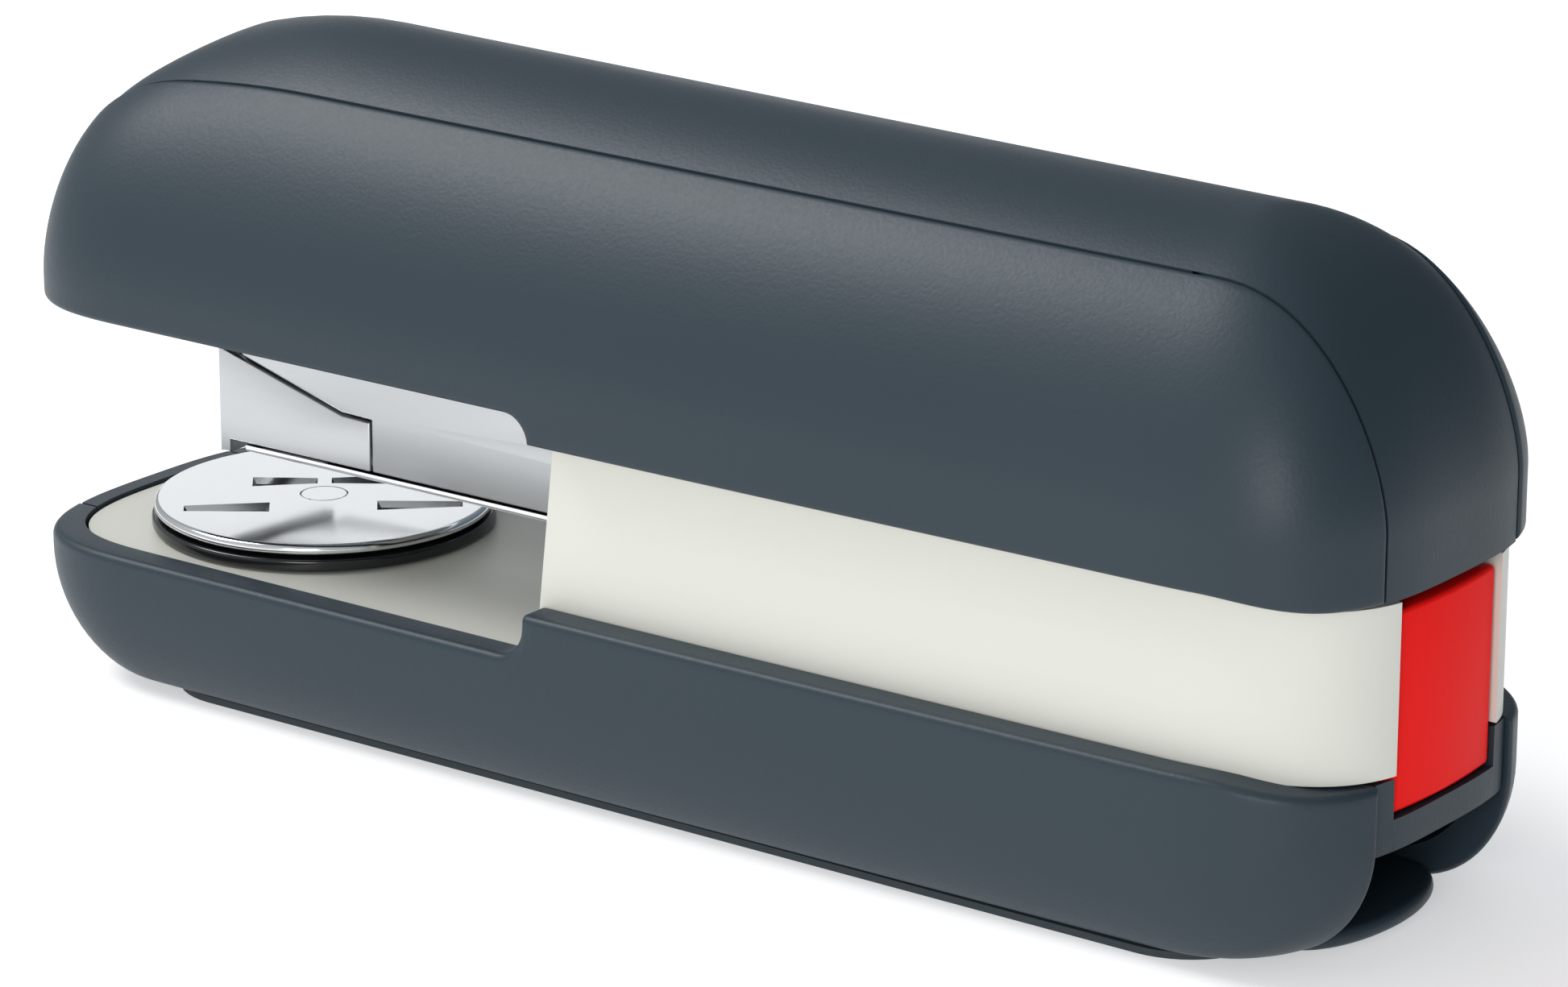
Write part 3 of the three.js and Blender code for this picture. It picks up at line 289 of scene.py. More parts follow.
def stands_for(made, node):
    """The piece takes the place of a node: its body."""
    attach(made, BODY_OF[node])
    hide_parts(node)
    return made


def new_group(name, inputs, outputs):
    """A shader node group with named sockets in and out."""
    group = bpy.data.node_groups.new(name, "ShaderNodeTree")
    for label, kind, value in inputs:
        socket = group.interface.new_socket(name=label, in_out="INPUT", socket_type=kind)
        if value is not None:
            socket.default_value = value
    for label, kind in outputs:
        group.interface.new_socket(name=label, in_out="OUTPUT", socket_type=kind)
    return group, group.nodes.new("NodeGroupInput"), group.nodes.new("NodeGroupOutput")


def scale_between(tree, value, low, high):
    """Maps a value from 0 to 1 onto low to high, each a number or a socket."""
    mapped = tree.nodes.new("ShaderNodeMapRange")
    tree.links.new(value, mapped.inputs["Value"])
    for label, end in ("To Min", low), ("To Max", high):
        if isinstance(end, (int, float)):
            mapped.inputs[label].default_value = end
        else:
            tree.links.new(end, mapped.inputs[label])
    return mapped.outputs["Result"]


# Moulded surface: a fine spark-eroded grain, and the soft patches that handling and moulding leave.
grain, into, out = new_group(
    "moulded_grain",
    [
        ("Vector", "NodeSocketVector", None),
        ("Grain Scale", "NodeSocketFloat", 2600.0),
        ("Patch Scale", "NodeSocketFloat", 38.0),
    ],
    [("Grain", "NodeSocketFloat"), ("Patches", "NodeSocketFloat")],
)
for label, detail, result in ("Grain Scale", 2.0, "Grain"), ("Patch Scale", 3.0, "Patches"):
    noise = grain.nodes.new("ShaderNodeTexNoise")
    noise.inputs["Detail"].default_value = detail
    grain.links.new(into.outputs["Vector"], noise.inputs["Vector"])
    grain.links.new(into.outputs[label], noise.inputs["Scale"])
    grain.links.new(noise.outputs["Fac"], out.inputs[result])


def moulded(
    name, colour, shade, roughness, spread, bump, grain_scale=2600.0, patch_scale=38.0, specular=0.5
):
    """A moulded plastic: its two close tones, its range of roughness and the depth of its grain."""
    material, tree, shader, coordinates = node_material(name)
    shader.inputs["Specular IOR Level"].default_value = specular
    effect = tree.nodes.new("ShaderNodeGroup")
    effect.node_tree = grain
    effect.inputs["Grain Scale"].default_value = grain_scale
    effect.inputs["Patch Scale"].default_value = patch_scale
    tree.links.new(coordinates, effect.inputs["Vector"])
    mix = tree.nodes.new("ShaderNodeMix")
    mix.data_type = "RGBA"
    mix.inputs["A"].default_value = (*shade, 1)
    mix.inputs["B"].default_value = (*colour, 1)
    tree.links.new(effect.outputs["Patches"], mix.inputs["Factor"])
    tree.links.new(mix.outputs["Result"], shader.inputs["Base Color"])
    rough = scale_between(tree, effect.outputs["Grain"], roughness - spread, roughness + spread)
    tree.links.new(rough, shader.inputs["Roughness"])
    relief = tree.nodes.new("ShaderNodeBump")
    relief.inputs["Strength"].default_value = bump
    relief.inputs["Distance"].default_value = 0.00006
    tree.links.new(effect.outputs["Grain"], relief.inputs["Height"])
    tree.links.new(relief.outputs["Normal"], shader.inputs["Normal"])
    return material


slate = moulded(
    "soft_touch_slate", (0.023, 0.038, 0.050), (0.021, 0.035, 0.047), 0.44, 0.05, 0.35, specular=0.34
)

BASE_BOTTOM = 1.0
BASE_TURN = 12.6
SIDE_DRAW = 4.4
END_DRAW = 12.2
TAIL_DRAW = 10.2
RIM_FRONT = 14.4
RIM_REAR = 18.7
REAR_DIP = 0.9
REAR_DIP_START = 61.0
REAR_DIP_RUN = 11.5
RIM_STEP_X = -10.2
RIM_STEP_R = 3.0
WALL_INSET = 3.1
NOSE_WALL_INSET = 2.4
FLOOR_T = 2.0
GROOVE_ROUND = 0.5
RIM_ROUND = 0.8

turn = np.radians(np.linspace(0, 90, 10))
step_x = RIM_STEP_X - RIM_STEP_R + RIM_STEP_R * np.sin(turn) * 0.985
step_z = RIM_FRONT + RIM_STEP_R * (1 - np.cos(turn))
corner_x = RIM_STEP_X + np.array([-0.02, 0.03, 0.1, 0.22, 0.4, 0.65])
corner_z = RIM_REAR - np.array([0.62, 0.4, 0.22, 0.1, 0.03, 0.0])
ahead_x = np.linspace(NOSE_START, step_x[0] - 0.6, 22)[1:]
behind_x = np.linspace(-8.5, TAIL_START, 26)[:-1]
base_side_x = np.concatenate([ahead_x, step_x, corner_x, behind_x])
base_rim_z = np.interp(
    base_side_x, np.concatenate([step_x, corner_x]), np.concatenate([step_z, corner_z])
)


def rear_dip(x):
    """How far the shells' edges dip at x, on their way round the tail."""
    t = np.clip((x - REAR_DIP_START) / REAR_DIP_RUN, 0, 1)
    return REAR_DIP * t * t * (3 - 2 * t)


def side_heights(row, side_z):
    """Height of an edge for each column of a shell: level round the nose, and dipping at the tail."""
    end = (len(row) - len(side_z)) // 2
    heights = np.concatenate([np.full(end, side_z[0]), side_z, np.full(end, side_z[-1])])
    return heights - rear_dip(row[:, 0])


def base_side_grid(wide, nose, tail, bottom):
    """The base shell's surface from the groove under it, round its bottom edge, up to the rim."""
    rows = []
    lowest = (wide - SIDE_DRAW, nose - END_DRAW, tail - TAIL_DRAW)
    for share in np.concatenate([NEAR_EDGE / (lowest[0] - CUT), np.linspace(0.25, 1, 5)[:-1]]):
        half = CUT + (lowest[0] - CUT) * share
        row = plan_row(half, lowest[1] * half / lowest[0], lowest[2] * half / lowest[0], base_side_x)
        rows.append((row, np.full(len(row), bottom)))
    for angle in np.radians(np.linspace(0, 90, 19)):
        drawn = 1 - math.sin(angle)
        ends = nose - END_DRAW * drawn, tail - TAIL_DRAW * drawn
        row = plan_row(wide - SIDE_DRAW * drawn, *ends, base_side_x)
        rows.append((row, np.full(len(row), BASE_TURN - (BASE_TURN - bottom) * math.cos(angle))))
    row = rows[-1][0]
    rim = side_heights(row, base_rim_z)
    upright = rim - BASE_TURN
    for share in np.linspace(0, 1, 9)[1:-1]:
        rows.append((row, BASE_TURN + (upright - NEAR_EDGE[-1]) * share))
    for down in NEAR_EDGE[::-1]:
        rows.append((row, rim - down))
    return np.stack([np.column_stack([r, z]) for r, z in rows])


MIDDLE = np.array([0.0, CUT, 13.0])
outer = base_side_grid(HALF_WIDTH, NOSE_DEPTH, TAIL_DEPTH, BASE_BOTTOM)
rim_line = outer[-1][:, [0, 2]]
outer = rolled(outer, MIDDLE, rim_line, GROOVE_ROUND, RIM_ROUND)
inner = base_side_grid(
    HALF_WIDTH - WALL_INSET, NOSE_DEPTH - NOSE_WALL_INSET, TAIL_DEPTH - WALL_INSET, BASE_BOTTOM + FLOOR_T
)
points, faces = wall(outer, inner)
for side, sign in ("left", -1), ("right", 1):
    shell = build(f"base_shell_{side}", points * (1, sign, 1), faces, slate)
    stands_for(shell, f"base_side_{side}")

# ---- Base middle band ----
# One moulding of the same slate plastic between the side shells. At the rear it is a solid block
# with the button's notch, the finger recess under it, and a thin tongue along the ground.
BAND_DEPTH = 0.65
BAND_EDGE = BAND_HALF - GAP / 2
BUTTON_HALF = 7.95
NOTCH_HALF = BUTTON_HALF + GAP
NOTCH_FLOOR = 14.1
NOTCH_FLOOR_T = 2.3
NOSE_BEND = 8.0
RECESS_TOP = 11.2
RECESS_BOTTOM = 2.6
RECESS_DEPTH = 12.7
RECESS_MOUTH = REAR_X - 1.8
BLOCK_FRONT = 57.0
TONGUE_END = TAIL_START + 16
TONGUE_ROUND = 5.0


def outline_x(start, sign, depth, half, power, y):
    """How far the plan outline of one level reaches at a distance y from the middle."""
    return start + sign * depth * (1 - min(abs(y) / half, 1) ** power) ** (1 / power)


def base_outline(y):
    """The band's closed side outline at y, from the front rim round under the base and back inside."""
    angle = np.radians(np.linspace(90, 0, 19))
    drawn = 1 - np.sin(angle)
    bottom = BASE_BOTTOM + BAND_DEPTH
    z = BASE_TURN - (BASE_TURN - bottom) * np.cos(angle)
    halves = HALF_WIDTH - BAND_DEPTH - SIDE_DRAW * drawn
    noses = NOSE_DEPTH - BAND_DEPTH - END_DRAW * drawn
    nose_x = [outline_x(NOSE_START, -1, n, h, NOSE_POWER, y) for n, h in zip(noses, halves)]
    nose = np.column_stack([nose_x, z])
    tongue_x = TONGUE_END - TONGUE_ROUND
    tongue_x += TONGUE_ROUND * math.sqrt(max(1 - (y / BAND_EDGE) ** 2, 0))
    lip = np.radians(np.linspace(-90, 90, 9))
    thick = (RECESS_BOTTOM - BASE_BOTTOM) / 2
    edge = np.column_stack(
        [tongue_x - thick + thick * np.cos(lip), BASE_BOTTOM + thick + thick * np.sin(lip)]
    )
    cove = np.radians(np.linspace(4, 86, 15))
    hollow = np.column_stack(
        [
            RECESS_MOUTH - RECESS_DEPTH * np.cos(cove),
            RECESS_BOTTOM + (RECESS_TOP - RECESS_BOTTOM) * np.sin(cove),
        ]
    )
    tail_half = HALF_WIDTH - BAND_DEPTH
    rear = []
    top = NOTCH_FLOOR if abs(y) < NOTCH_HALF else RIM_REAR - REAR_DIP
    for height in np.linspace(RECESS_TOP, top, 7):
        lift = math.sin(math.acos(max(0.0, (BASE_TURN - height) / (BASE_TURN - bottom))))
        depth = TAIL_DEPTH - BAND_DEPTH - TAIL_DRAW * (1 - lift)
        rear.append((outline_x(TAIL_START, 1, depth, tail_half, TAIL_POWER, y), height))
    inside_depth = NOSE_DEPTH - NOSE_WALL_INSET
    inside_nose = outline_x(NOSE_START, -1, inside_depth, HALF_WIDTH - WALL_INSET, NOSE_POWER, y)
    curve = np.radians(np.linspace(0, 90, 9))
    floor_z = BASE_BOTTOM + FLOOR_T
    inside_bend = np.column_stack(
        [inside_nose + NOSE_BEND * (1 - np.sin(curve)), floor_z + NOSE_BEND * (1 - np.cos(curve))]
    )
    return np.concatenate(
        [
            [(nose[0][0], RIM_FRONT)],
            nose,
            [(NOSE_START, bottom), (0.0, bottom), (BLOCK_FRONT, bottom), (BLOCK_FRONT + 2, BASE_BOTTOM)],
            edge,
            [(RECESS_MOUTH - RECESS_DEPTH, RECESS_BOTTOM)],
            hollow,
            rear,
            [(BLOCK_FRONT, min(top, NOTCH_FLOOR) - NOTCH_FLOOR_T), (BLOCK_FRONT, floor_z), (0.0, floor_z)],
            inside_bend,
            [(inside_nose, RIM_FRONT)],
        ]
    )


def loft_across(outlines, ys):
    """A closed solid through side outlines placed at the given y values."""
    count = len(outlines[0])
    points = np.concatenate(
        [np.column_stack([o[:, 0], np.full(count, y), o[:, 1]]) for o, y in zip(outlines, ys)]
    )
    faces = []
    for i in range(len(ys) - 1):
        for j in range(count):
            k = (j + 1) % count
            faces.append((i * count + j, i * count + k, (i + 1) * count + k, (i + 1) * count + j))
    faces.append(tuple(range(count)))
    faces.append(tuple((len(ys) - 1) * count + j for j in reversed(range(count))))
    return points, faces


near_notch = [NOTCH_HALF - 0.01, NOTCH_HALF + 0.01]
half_ys = np.concatenate(
    [np.linspace(0, NOTCH_HALF - 0.6, 9), near_notch, np.linspace(9, BAND_EDGE, 5)]
)
band_ys = np.concatenate([-half_ys[:0:-1], half_ys])
points, faces = loft_across([base_outline(y) for y in band_ys], band_ys)
base_middle = build("base_middle", points, faces, slate)
stands_for(base_middle, "base_band")

# ---- Sole ----
# A thin strip of dark non-slip rubber glued under the base. Its edge is slightly rounded.
sole_rubber = moulded(
    "sole_rubber", (0.030, 0.043, 0.052), (0.024, 0.035, 0.043), 0.72, 0.08, 0.5, 1500.0, 60.0
)


def refined(node, name, material, width, segments=2, crease=35):
    """A copy of a node with its triangles merged into whole faces and its edges broken."""
    mesh = frame["nodes"][node].data.copy()
    mesh.name = name
    shape = bmesh.new()
    shape.from_mesh(mesh)
    bmesh.ops.remove_doubles(shape, verts=shape.verts, dist=WELD)
    bmesh.ops.dissolve_limit(
        shape, angle_limit=math.radians(0.6), verts=shape.verts, edges=shape.edges
    )
    shape.to_mesh(mesh)
    shape.free()
    mesh.materials.clear()
    mesh.materials.append(material)
    made = bpy.data.objects.new(name, mesh)
    scene.collection.objects.link(made)
    if width:
        bevel = made.modifiers.new("broken_edges", "BEVEL")
        bevel.width = width * MM
        bevel.segments = segments
        bevel.limit_method = "ANGLE"
        bevel.angle_limit = math.radians(35)
        bevel.use_clamp_overlap = True
        settle(made)
    smooth(made.data, crease)
    return stands_for(made, node)


def settle(made):
    """Turns the object with its modifiers into a plain mesh."""
    bpy.context.view_layer.update()
    graph = bpy.context.evaluated_depsgraph_get()
    mesh = bpy.data.meshes.new_from_object(made.evaluated_get(graph))
    made.modifiers.clear()
    made.data = mesh


refined("sole", "sole_strip", sole_rubber, 0.2)

# ---- Sheet steel ----
# Rolled, bent and plated sheet: satin nickel on the magazine, duller zinc on the chassis and lever.
rolling, into, out = new_group(
    "rolled_metal",
    [
        ("Vector", "NodeSocketVector", None),
        ("Streaks", "NodeSocketVector", (60.0, 60.0, 2400.0)),
        ("Clouds", "NodeSocketFloat", 45.0),
    ],
    [("Streak", "NodeSocketFloat"), ("Cloud", "NodeSocketFloat")],
)
stretch = rolling.nodes.new("ShaderNodeMapping")
rolling.links.new(into.outputs["Vector"], stretch.inputs["Vector"])
rolling.links.new(into.outputs["Streaks"], stretch.inputs["Scale"])
lines = rolling.nodes.new("ShaderNodeTexNoise")
lines.inputs["Scale"].default_value = 1.0
lines.inputs["Detail"].default_value = 4.0
rolling.links.new(stretch.outputs["Vector"], lines.inputs["Vector"])
rolling.links.new(lines.outputs["Fac"], out.inputs["Streak"])
clouds = rolling.nodes.new("ShaderNodeTexNoise")
clouds.inputs["Detail"].default_value = 3.0
rolling.links.new(into.outputs["Vector"], clouds.inputs["Vector"])
rolling.links.new(into.outputs["Clouds"], clouds.inputs["Scale"])
rolling.links.new(clouds.outputs["Fac"], out.inputs["Cloud"])


def plated(name, colour, shade, roughness, spread, streaks=(60.0, 60.0, 2400.0), bump=0.08):
    """A plated metal: two tones in clouds, and drawn or rolled lines in its roughness and relief."""
    material, tree, shader, coordinates = node_material(name, metallic=1.0)
    effect = tree.nodes.new("ShaderNodeGroup")
    effect.node_tree = rolling
    effect.inputs["Streaks"].default_value = streaks
    tree.links.new(coordinates, effect.inputs["Vector"])
    mix = tree.nodes.new("ShaderNodeMix")
    mix.data_type = "RGBA"
    mix.inputs["A"].default_value = (*shade, 1)
    mix.inputs["B"].default_value = (*colour, 1)
    tree.links.new(effect.outputs["Cloud"], mix.inputs["Factor"])
    tree.links.new(mix.outputs["Result"], shader.inputs["Base Color"])
    rough = scale_between(tree, effect.outputs["Streak"], roughness - spread, roughness + spread)
    tree.links.new(rough, shader.inputs["Roughness"])
    relief = tree.nodes.new("ShaderNodeBump")
    relief.inputs["Strength"].default_value = bump
    relief.inputs["Distance"].default_value = 0.00003
    tree.links.new(effect.outputs["Streak"], relief.inputs["Height"])
    tree.links.new(relief.outputs["Normal"], shader.inputs["Normal"])
    return material


nickel = plated("satin_nickel", (0.60, 0.615, 0.63), (0.56, 0.575, 0.59), 0.36, 0.05)
zinc = plated("zinc_plate", (0.55, 0.56, 0.58), (0.44, 0.45, 0.47), 0.38, 0.08)
chrome = plated(
    "chrome_plate", (0.80, 0.81, 0.82), (0.77, 0.78, 0.79), 0.14, 0.03, (300.0, 300.0, 300.0), 0.02
)
spring_wire = plated(
    "spring_wire", (0.50, 0.50, 0.50), (0.40, 0.40, 0.41), 0.30, 0.06, (900.0, 900.0, 900.0)
)

refined("chassis", "chassis_channel", zinc, 0.25)

# ---- Liner ----
# The off-white moulding that sits in the base: a level deck under the anvil, the two side walls,
# and the rear frame that the button slides in.
cream = moulded("cream_plastic", (0.70, 0.695, 0.63), (0.68, 0.675, 0.61), 0.42, 0.04, 0.12, 1800.0, 22.0)
DECK_TOP = 14.05
DECK_T = 1.9
LINER_HALF = HALF_WIDTH - WALL_INSET - GAP
LINER_NOSE = NOSE_DEPTH - NOSE_WALL_INSET - GAP
LINER_TAIL = TAIL_DEPTH - WALL_INSET - GAP
LINER_REAR = 20.3
LINER_T = 2.0
LINER_FRONT = -10.5
LINER_LEAN = 1.6
LINER_HIGH = 37.0
LINER_LOW = 33.5
LINER_DROP_START = 61
LINER_DROP_RUN = 9


def full_plan(half, nose, tail, steps=26):
    """The whole plan outline of a level, both halves."""
    near = plan_row(half, nose, tail, np.linspace(NOSE_START, TAIL_START, 20)[1:-1], 0.0, steps)
    return np.concatenate([near, (near * (1, -1))[-2:0:-1]])


def slab(plan, low, high):
    """A flat plate over a plan outline."""
    count = len(plan)
    points = np.concatenate([np.column_stack([plan, np.full(count, z)]) for z in (low, high)])
    faces = [tuple(range(count))[::-1], tuple(range(count, 2 * count))]
    faces += [(i, (i + 1) % count, (i + 1) % count + count, i + count) for i in range(count)]
    return points, faces


def carve(made, cutter, operation="DIFFERENCE"):
    """Cuts or joins another solid, which is used up."""
    boolean = made.modifiers.new("carve", "BOOLEAN")
    boolean.operation = operation
    boolean.solver = "EXACT"
    boolean.object = cutter
    settle(made)
    bpy.data.objects.remove(cutter)
    return made


def box_solid(x, y, z, material):
    """A block between two values of each of x, y and z."""
    corners = np.array([(x[0], y[0]), (x[1], y[0]), (x[1], y[1]), (x[0], y[1])], float)
    return build("block", *slab(corners, *z), material)


deck = slab(full_plan(LINER_HALF, LINER_NOSE, LINER_TAIL), DECK_TOP - DECK_T, DECK_TOP)
liner = build("liner_frame", *deck, cream)
straight_x = np.linspace(LINER_FRONT + LINER_LEAN + 0.5, TAIL_START, 18)[:-1]
wall_x = np.concatenate([[LINER_FRONT - 0.4], straight_x])
lower_wall = (DECK_TOP - 1, RIM_REAR + 2, LINER_TAIL)
upper_wall = (RIM_REAR - 0.6, LINER_HIGH, LINER_REAR)


def liner_wall(low, high, half, tail):
    """One side wall, from its leaning front edge round the tail to the button's opening."""
    ends = len(NEAR_EDGE) + 23
    row = plan_row(half, 0.001, tail, wall_x, NOTCH_HALF, 24)[ends:]
    drop = (LINER_HIGH - LINER_LOW) * np.clip((row[:, 0] - LINER_DROP_START) / LINER_DROP_RUN, 0, 1)
    top = np.minimum(high, LINER_HIGH - drop)
    rows = []
    for share in np.linspace(0, 1, 9):
        z = low + (top - low) * share
        level = row.copy()
        lean = LINER_LEAN * (z[0] - RIM_REAR) / (LINER_HIGH - 4 - RIM_REAR)
        level[0][0] = LINER_FRONT + max(lean, -0.3)
        rows.append(np.column_stack([level, z]))
    return np.stack(rows)


for sign in -1, 1:
    for low, high, tail in lower_wall, upper_wall:
        outer = liner_wall(low, high, LINER_HALF, tail)
        inner = liner_wall(low, high, LINER_HALF - LINER_T, LINER_TAIL - LINER_T)
        points, faces = wall(outer, inner)
        carve(liner, build("liner_wall", points * (1, sign, 1), faces, cream), "UNION")
smooth(liner.data, 30)
stands_for(liner, "liner")

# ---- Anvil ----
# A pressed and chromed steel disc with two pairs of staple grooves, on a glossy black turning ring.
# A rivet with a spring washer holds them to the chassis, so that the disc can be turned by hand.
black = moulded("black_gloss", (0.010, 0.011, 0.012), (0.007, 0.008, 0.009), 0.16, 0.03, 0.02, 900.0, 60.0)
disc_low, disc_high = (np.array(c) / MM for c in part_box("anvil_disc"))
ANVIL_X = (disc_low[0] + disc_high[0]) / 2
ANVIL_R = (disc_high[0] - disc_low[0]) / 2
ANVIL_TOP = disc_high[2]
ANVIL_T = disc_high[2] - disc_low[2]
STAPLE_CROWN = 12.9
GROOVE_OFFSET = 4.1
GROOVE_DEEP = 0.6
GROOVE_SLOPE = 0.55
GROOVE_WIDE = 1.1
GROOVE_NARROW = 0.5
ANVIL_REST_TURN = math.radians(-50)
TURNS = 160


def lathe(profile, x):
    """A body turned about the upright line at x, from a section that is closed or ends on the axis."""
    profile = np.asarray(profile, float)
    angles = np.linspace(0, 2 * math.pi, TURNS, endpoint=False)
    reach, height = profile.T
    points = np.concatenate(
        [np.column_stack([x + reach * math.cos(a), reach * math.sin(a), height]) for a in angles]
    )
    count = len(profile)
    faces = []
    for i in range(TURNS):
        for j in range(count - 1):
            a, b = i * count + j, ((i + 1) % TURNS) * count + j
            faces.append((a, b, b + 1, a + 1))
    return points, faces


def rounded_profile(radius, low, high, top_round, bottom_round, bore=0.0):
    """Half section of a disc whose rim is rounded at both faces."""
    quarter = np.radians(np.linspace(0, 90, 9))
    under_x = radius - bottom_round + bottom_round * np.sin(quarter)
    under_z = low + bottom_round - bottom_round * np.cos(quarter)
    over_x = radius - top_round + top_round * np.cos(quarter)
    over_z = high - top_round + top_round * np.sin(quarter)
    under = np.column_stack([under_x, under_z])
    over = np.column_stack([over_x, over_z])
    section = [[(bore, low)], under, over, [(bore, high)]]
    return np.concatenate(section + [[(bore, low)]] if bore else section)


RIVET_R = 2.3
RIVET_HEAD_T = 0.8
RIVET_CHAMFER = 0.12
profile = rounded_profile(ANVIL_R, ANVIL_TOP - ANVIL_T, ANVIL_TOP, 0.55, 0.5, RIVET_R + 0.05)
disc = build("anvil_plate", *lathe(profile, ANVIL_X), chrome)


def groove(offset, start, end):
    """A stamped pocket that narrows from its start to its end, with sloping walls."""
    rings = []
    for z, spread in (ANVIL_TOP + 0.3, GROOVE_SLOPE), (ANVIL_TOP - GROOVE_DEEP, 0.0):
        step = math.copysign(spread, end - start)
        ring = [
            (offset - GROOVE_WIDE - spread, start - step),
            (offset + GROOVE_WIDE + spread, start - step),
            (offset + GROOVE_NARROW + spread, end + step),
            (offset - GROOVE_NARROW - spread, end + step),
        ]
        rings.extend((x, y, z) for x, y in ring)
    points = np.array(rings)
    turned = points.copy()
    c, s = math.cos(ANVIL_REST_TURN), math.sin(ANVIL_REST_TURN)
    turned[:, 0] = ANVIL_X + points[:, 0] * c - points[:, 1] * s
    turned[:, 1] = points[:, 0] * s + points[:, 1] * c
    faces = [(0, 1, 2, 3), (7, 6, 5, 4)]
    faces += [(i, i + 4, (i + 1) % 4 + 4, (i + 1) % 4) for i in range(4)]
    return build("groove", turned, faces, chrome)


half_crown = STAPLE_CROWN / 2
for sign in -1, 1:
    carve(disc, groove(-GROOVE_OFFSET, sign * (half_crown + 0.2), sign * (half_crown - 5.4)))
    carve(disc, groove(GROOVE_OFFSET, sign * (half_crown - 0.9), sign * (half_crown + 6.6)))
smooth(disc.data, 25)
stands_for(disc, "anvil_disc")

ring_low, ring_high = (np.array(c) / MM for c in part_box("anvil_ring"))
ring_profile = rounded_profile((ring_high[0] - ring_low[0]) / 2, ring_low[2], ring_high[2], 0.3, 0.3)
turning_ring = build("turning_ring", *lathe(ring_profile, ANVIL_X), black)
stands_for(turning_ring, "anvil_ring")
rivet_low, rivet_high = (np.array(c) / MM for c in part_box("anvil_rivet"))
rivet_wide = (rivet_high[0] - rivet_low[0]) / 2
rivet_profile = [
    (0, rivet_low[2]),
    (rivet_wide, rivet_low[2]),
    (rivet_wide, rivet_low[2] + RIVET_HEAD_T),
    (RIVET_R, rivet_low[2] + RIVET_HEAD_T),
    (RIVET_R, rivet_high[2] - RIVET_CHAMFER),
    (RIVET_R - RIVET_CHAMFER, rivet_high[2]),
    (0, rivet_high[2]),
]
rivet = build("rivet", *lathe(rivet_profile, ANVIL_X), chrome)
stands_for(rivet, "anvil_rivet")
refined("anvil_spring_washer", "spring_washer", spring_wire, 0)

# ---- Pivot ----
# A plain steel pin through the chassis ears, the magazine and the lever, with a clip on each end.
refined("pivot_pin", "hinge_pin", zinc, 0.2)
refined("pin_clip_left", "clip_left", spring_wire, 0.1)
refined("pin_clip_right", "clip_right", spring_wire, 0.1)

# ---- Release button and latch ----
# The red rear button is a hollow moulding with a stem that tips the drawer's latch.
red = moulded(
    "red_plastic", (0.96, 0.010, 0.008), (0.93, 0.009, 0.007), 0.34, 0.04, 0.10, 1800.0, 30.0, 0.04
)
button_low, button_high = (np.array(c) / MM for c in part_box("release_button"))
BUTTON_FACE = button_high[0]
BUTTON_BACK = 66.2
BUTTON_BULGE = 0.5
BUTTON_ROUND = 0.45
across = np.linspace(-1, 1, 25)
face = np.column_stack([BUTTON_FACE - BUTTON_BULGE * across**2, across * BUTTON_HALF])
plan = np.concatenate([[(BUTTON_BACK, -BUTTON_HALF)], face, [(BUTTON_BACK, BUTTON_HALF)]])
button = build("rear_button", *slab(plan, button_low[2], button_high[2]), red)
bevel = button.modifiers.new("soft_edges", "BEVEL")
bevel.width = BUTTON_ROUND * MM
bevel.segments = 3
bevel.limit_method = "ANGLE"
bevel.angle_limit = math.radians(40)
settle(button)
BUTTON_WALL = 1.8
carve(
    button,
    box_solid(
        (BUTTON_BACK - 1, BUTTON_FACE - BUTTON_BULGE - BUTTON_WALL),
        (-BUTTON_HALF + BUTTON_WALL, BUTTON_HALF - BUTTON_WALL),
        (button_low[2] + BUTTON_WALL, button_high[2] - BUTTON_WALL),
        red,
    ),
)
STEM = ((54.9, BUTTON_FACE - 1.2), (-3, 3), (21.5, 25.2))
STEM_TIP = ((50.9, 55.9), (-3, 3), (23.8, 25.2))
carve(button, box_solid(*STEM, red), "UNION")
carve(button, box_solid(*STEM_TIP, red), "UNION")
smooth(button.data, 35)
stands_for(button, "release_button")
refined("drawer_latch", "latch", zinc, 0.15)
refined("latch_pin", "latch_axle", zinc, 0.15)

# ---- Magazine and staple drawer ----
# The housing is an inverted channel of satin steel. The drawer slides in it from the front, and
# its head closes the nose. The rail's polished floor shows as a bright lip under the housing.
refined("magazine_housing", "magazine_channel", nickel, 0.18)
refined("drawer_head", "drawer_front", nickel, 0.18)
refined("drawer_rail", "staple_rail", chrome, 0.18)
refined("pusher_rod", "guide_rod", chrome, 0.1)
refined("staple_pusher", "pusher", zinc, 0.1)
refined("driver_blade", "driver", nickel, 0.1)

# ---- Handle ----
# Two slate side shells and the middle band, screwed to a folded steel lever. The shells stand
# proud of the band, so that a fine groove runs over the handle on each side.
refined("handle_lever", "lever", zinc, 0.25)
HANDLE_EDGE = 34.8
HANDLE_EDGE_FRONT = 37.2
HANDLE_TURN = 40.0
HANDLE_TOP = 65.4
HANDLE_WALL = 2.2
HANDLE_BAND_DEPTH = 0.25
CROWN_FALL = 2.05
NOSE_FALL = 10.6
NOSE_FALL_RUN = 14.6
DOME_SIDE = 1.7
DOME_NOSE = 1.91
DOME_TAIL = 1.64
HANDLE_STEP_X = -9.4
HANDLE_STEP_R = 2.6
EDGE_ROUND = 0.7

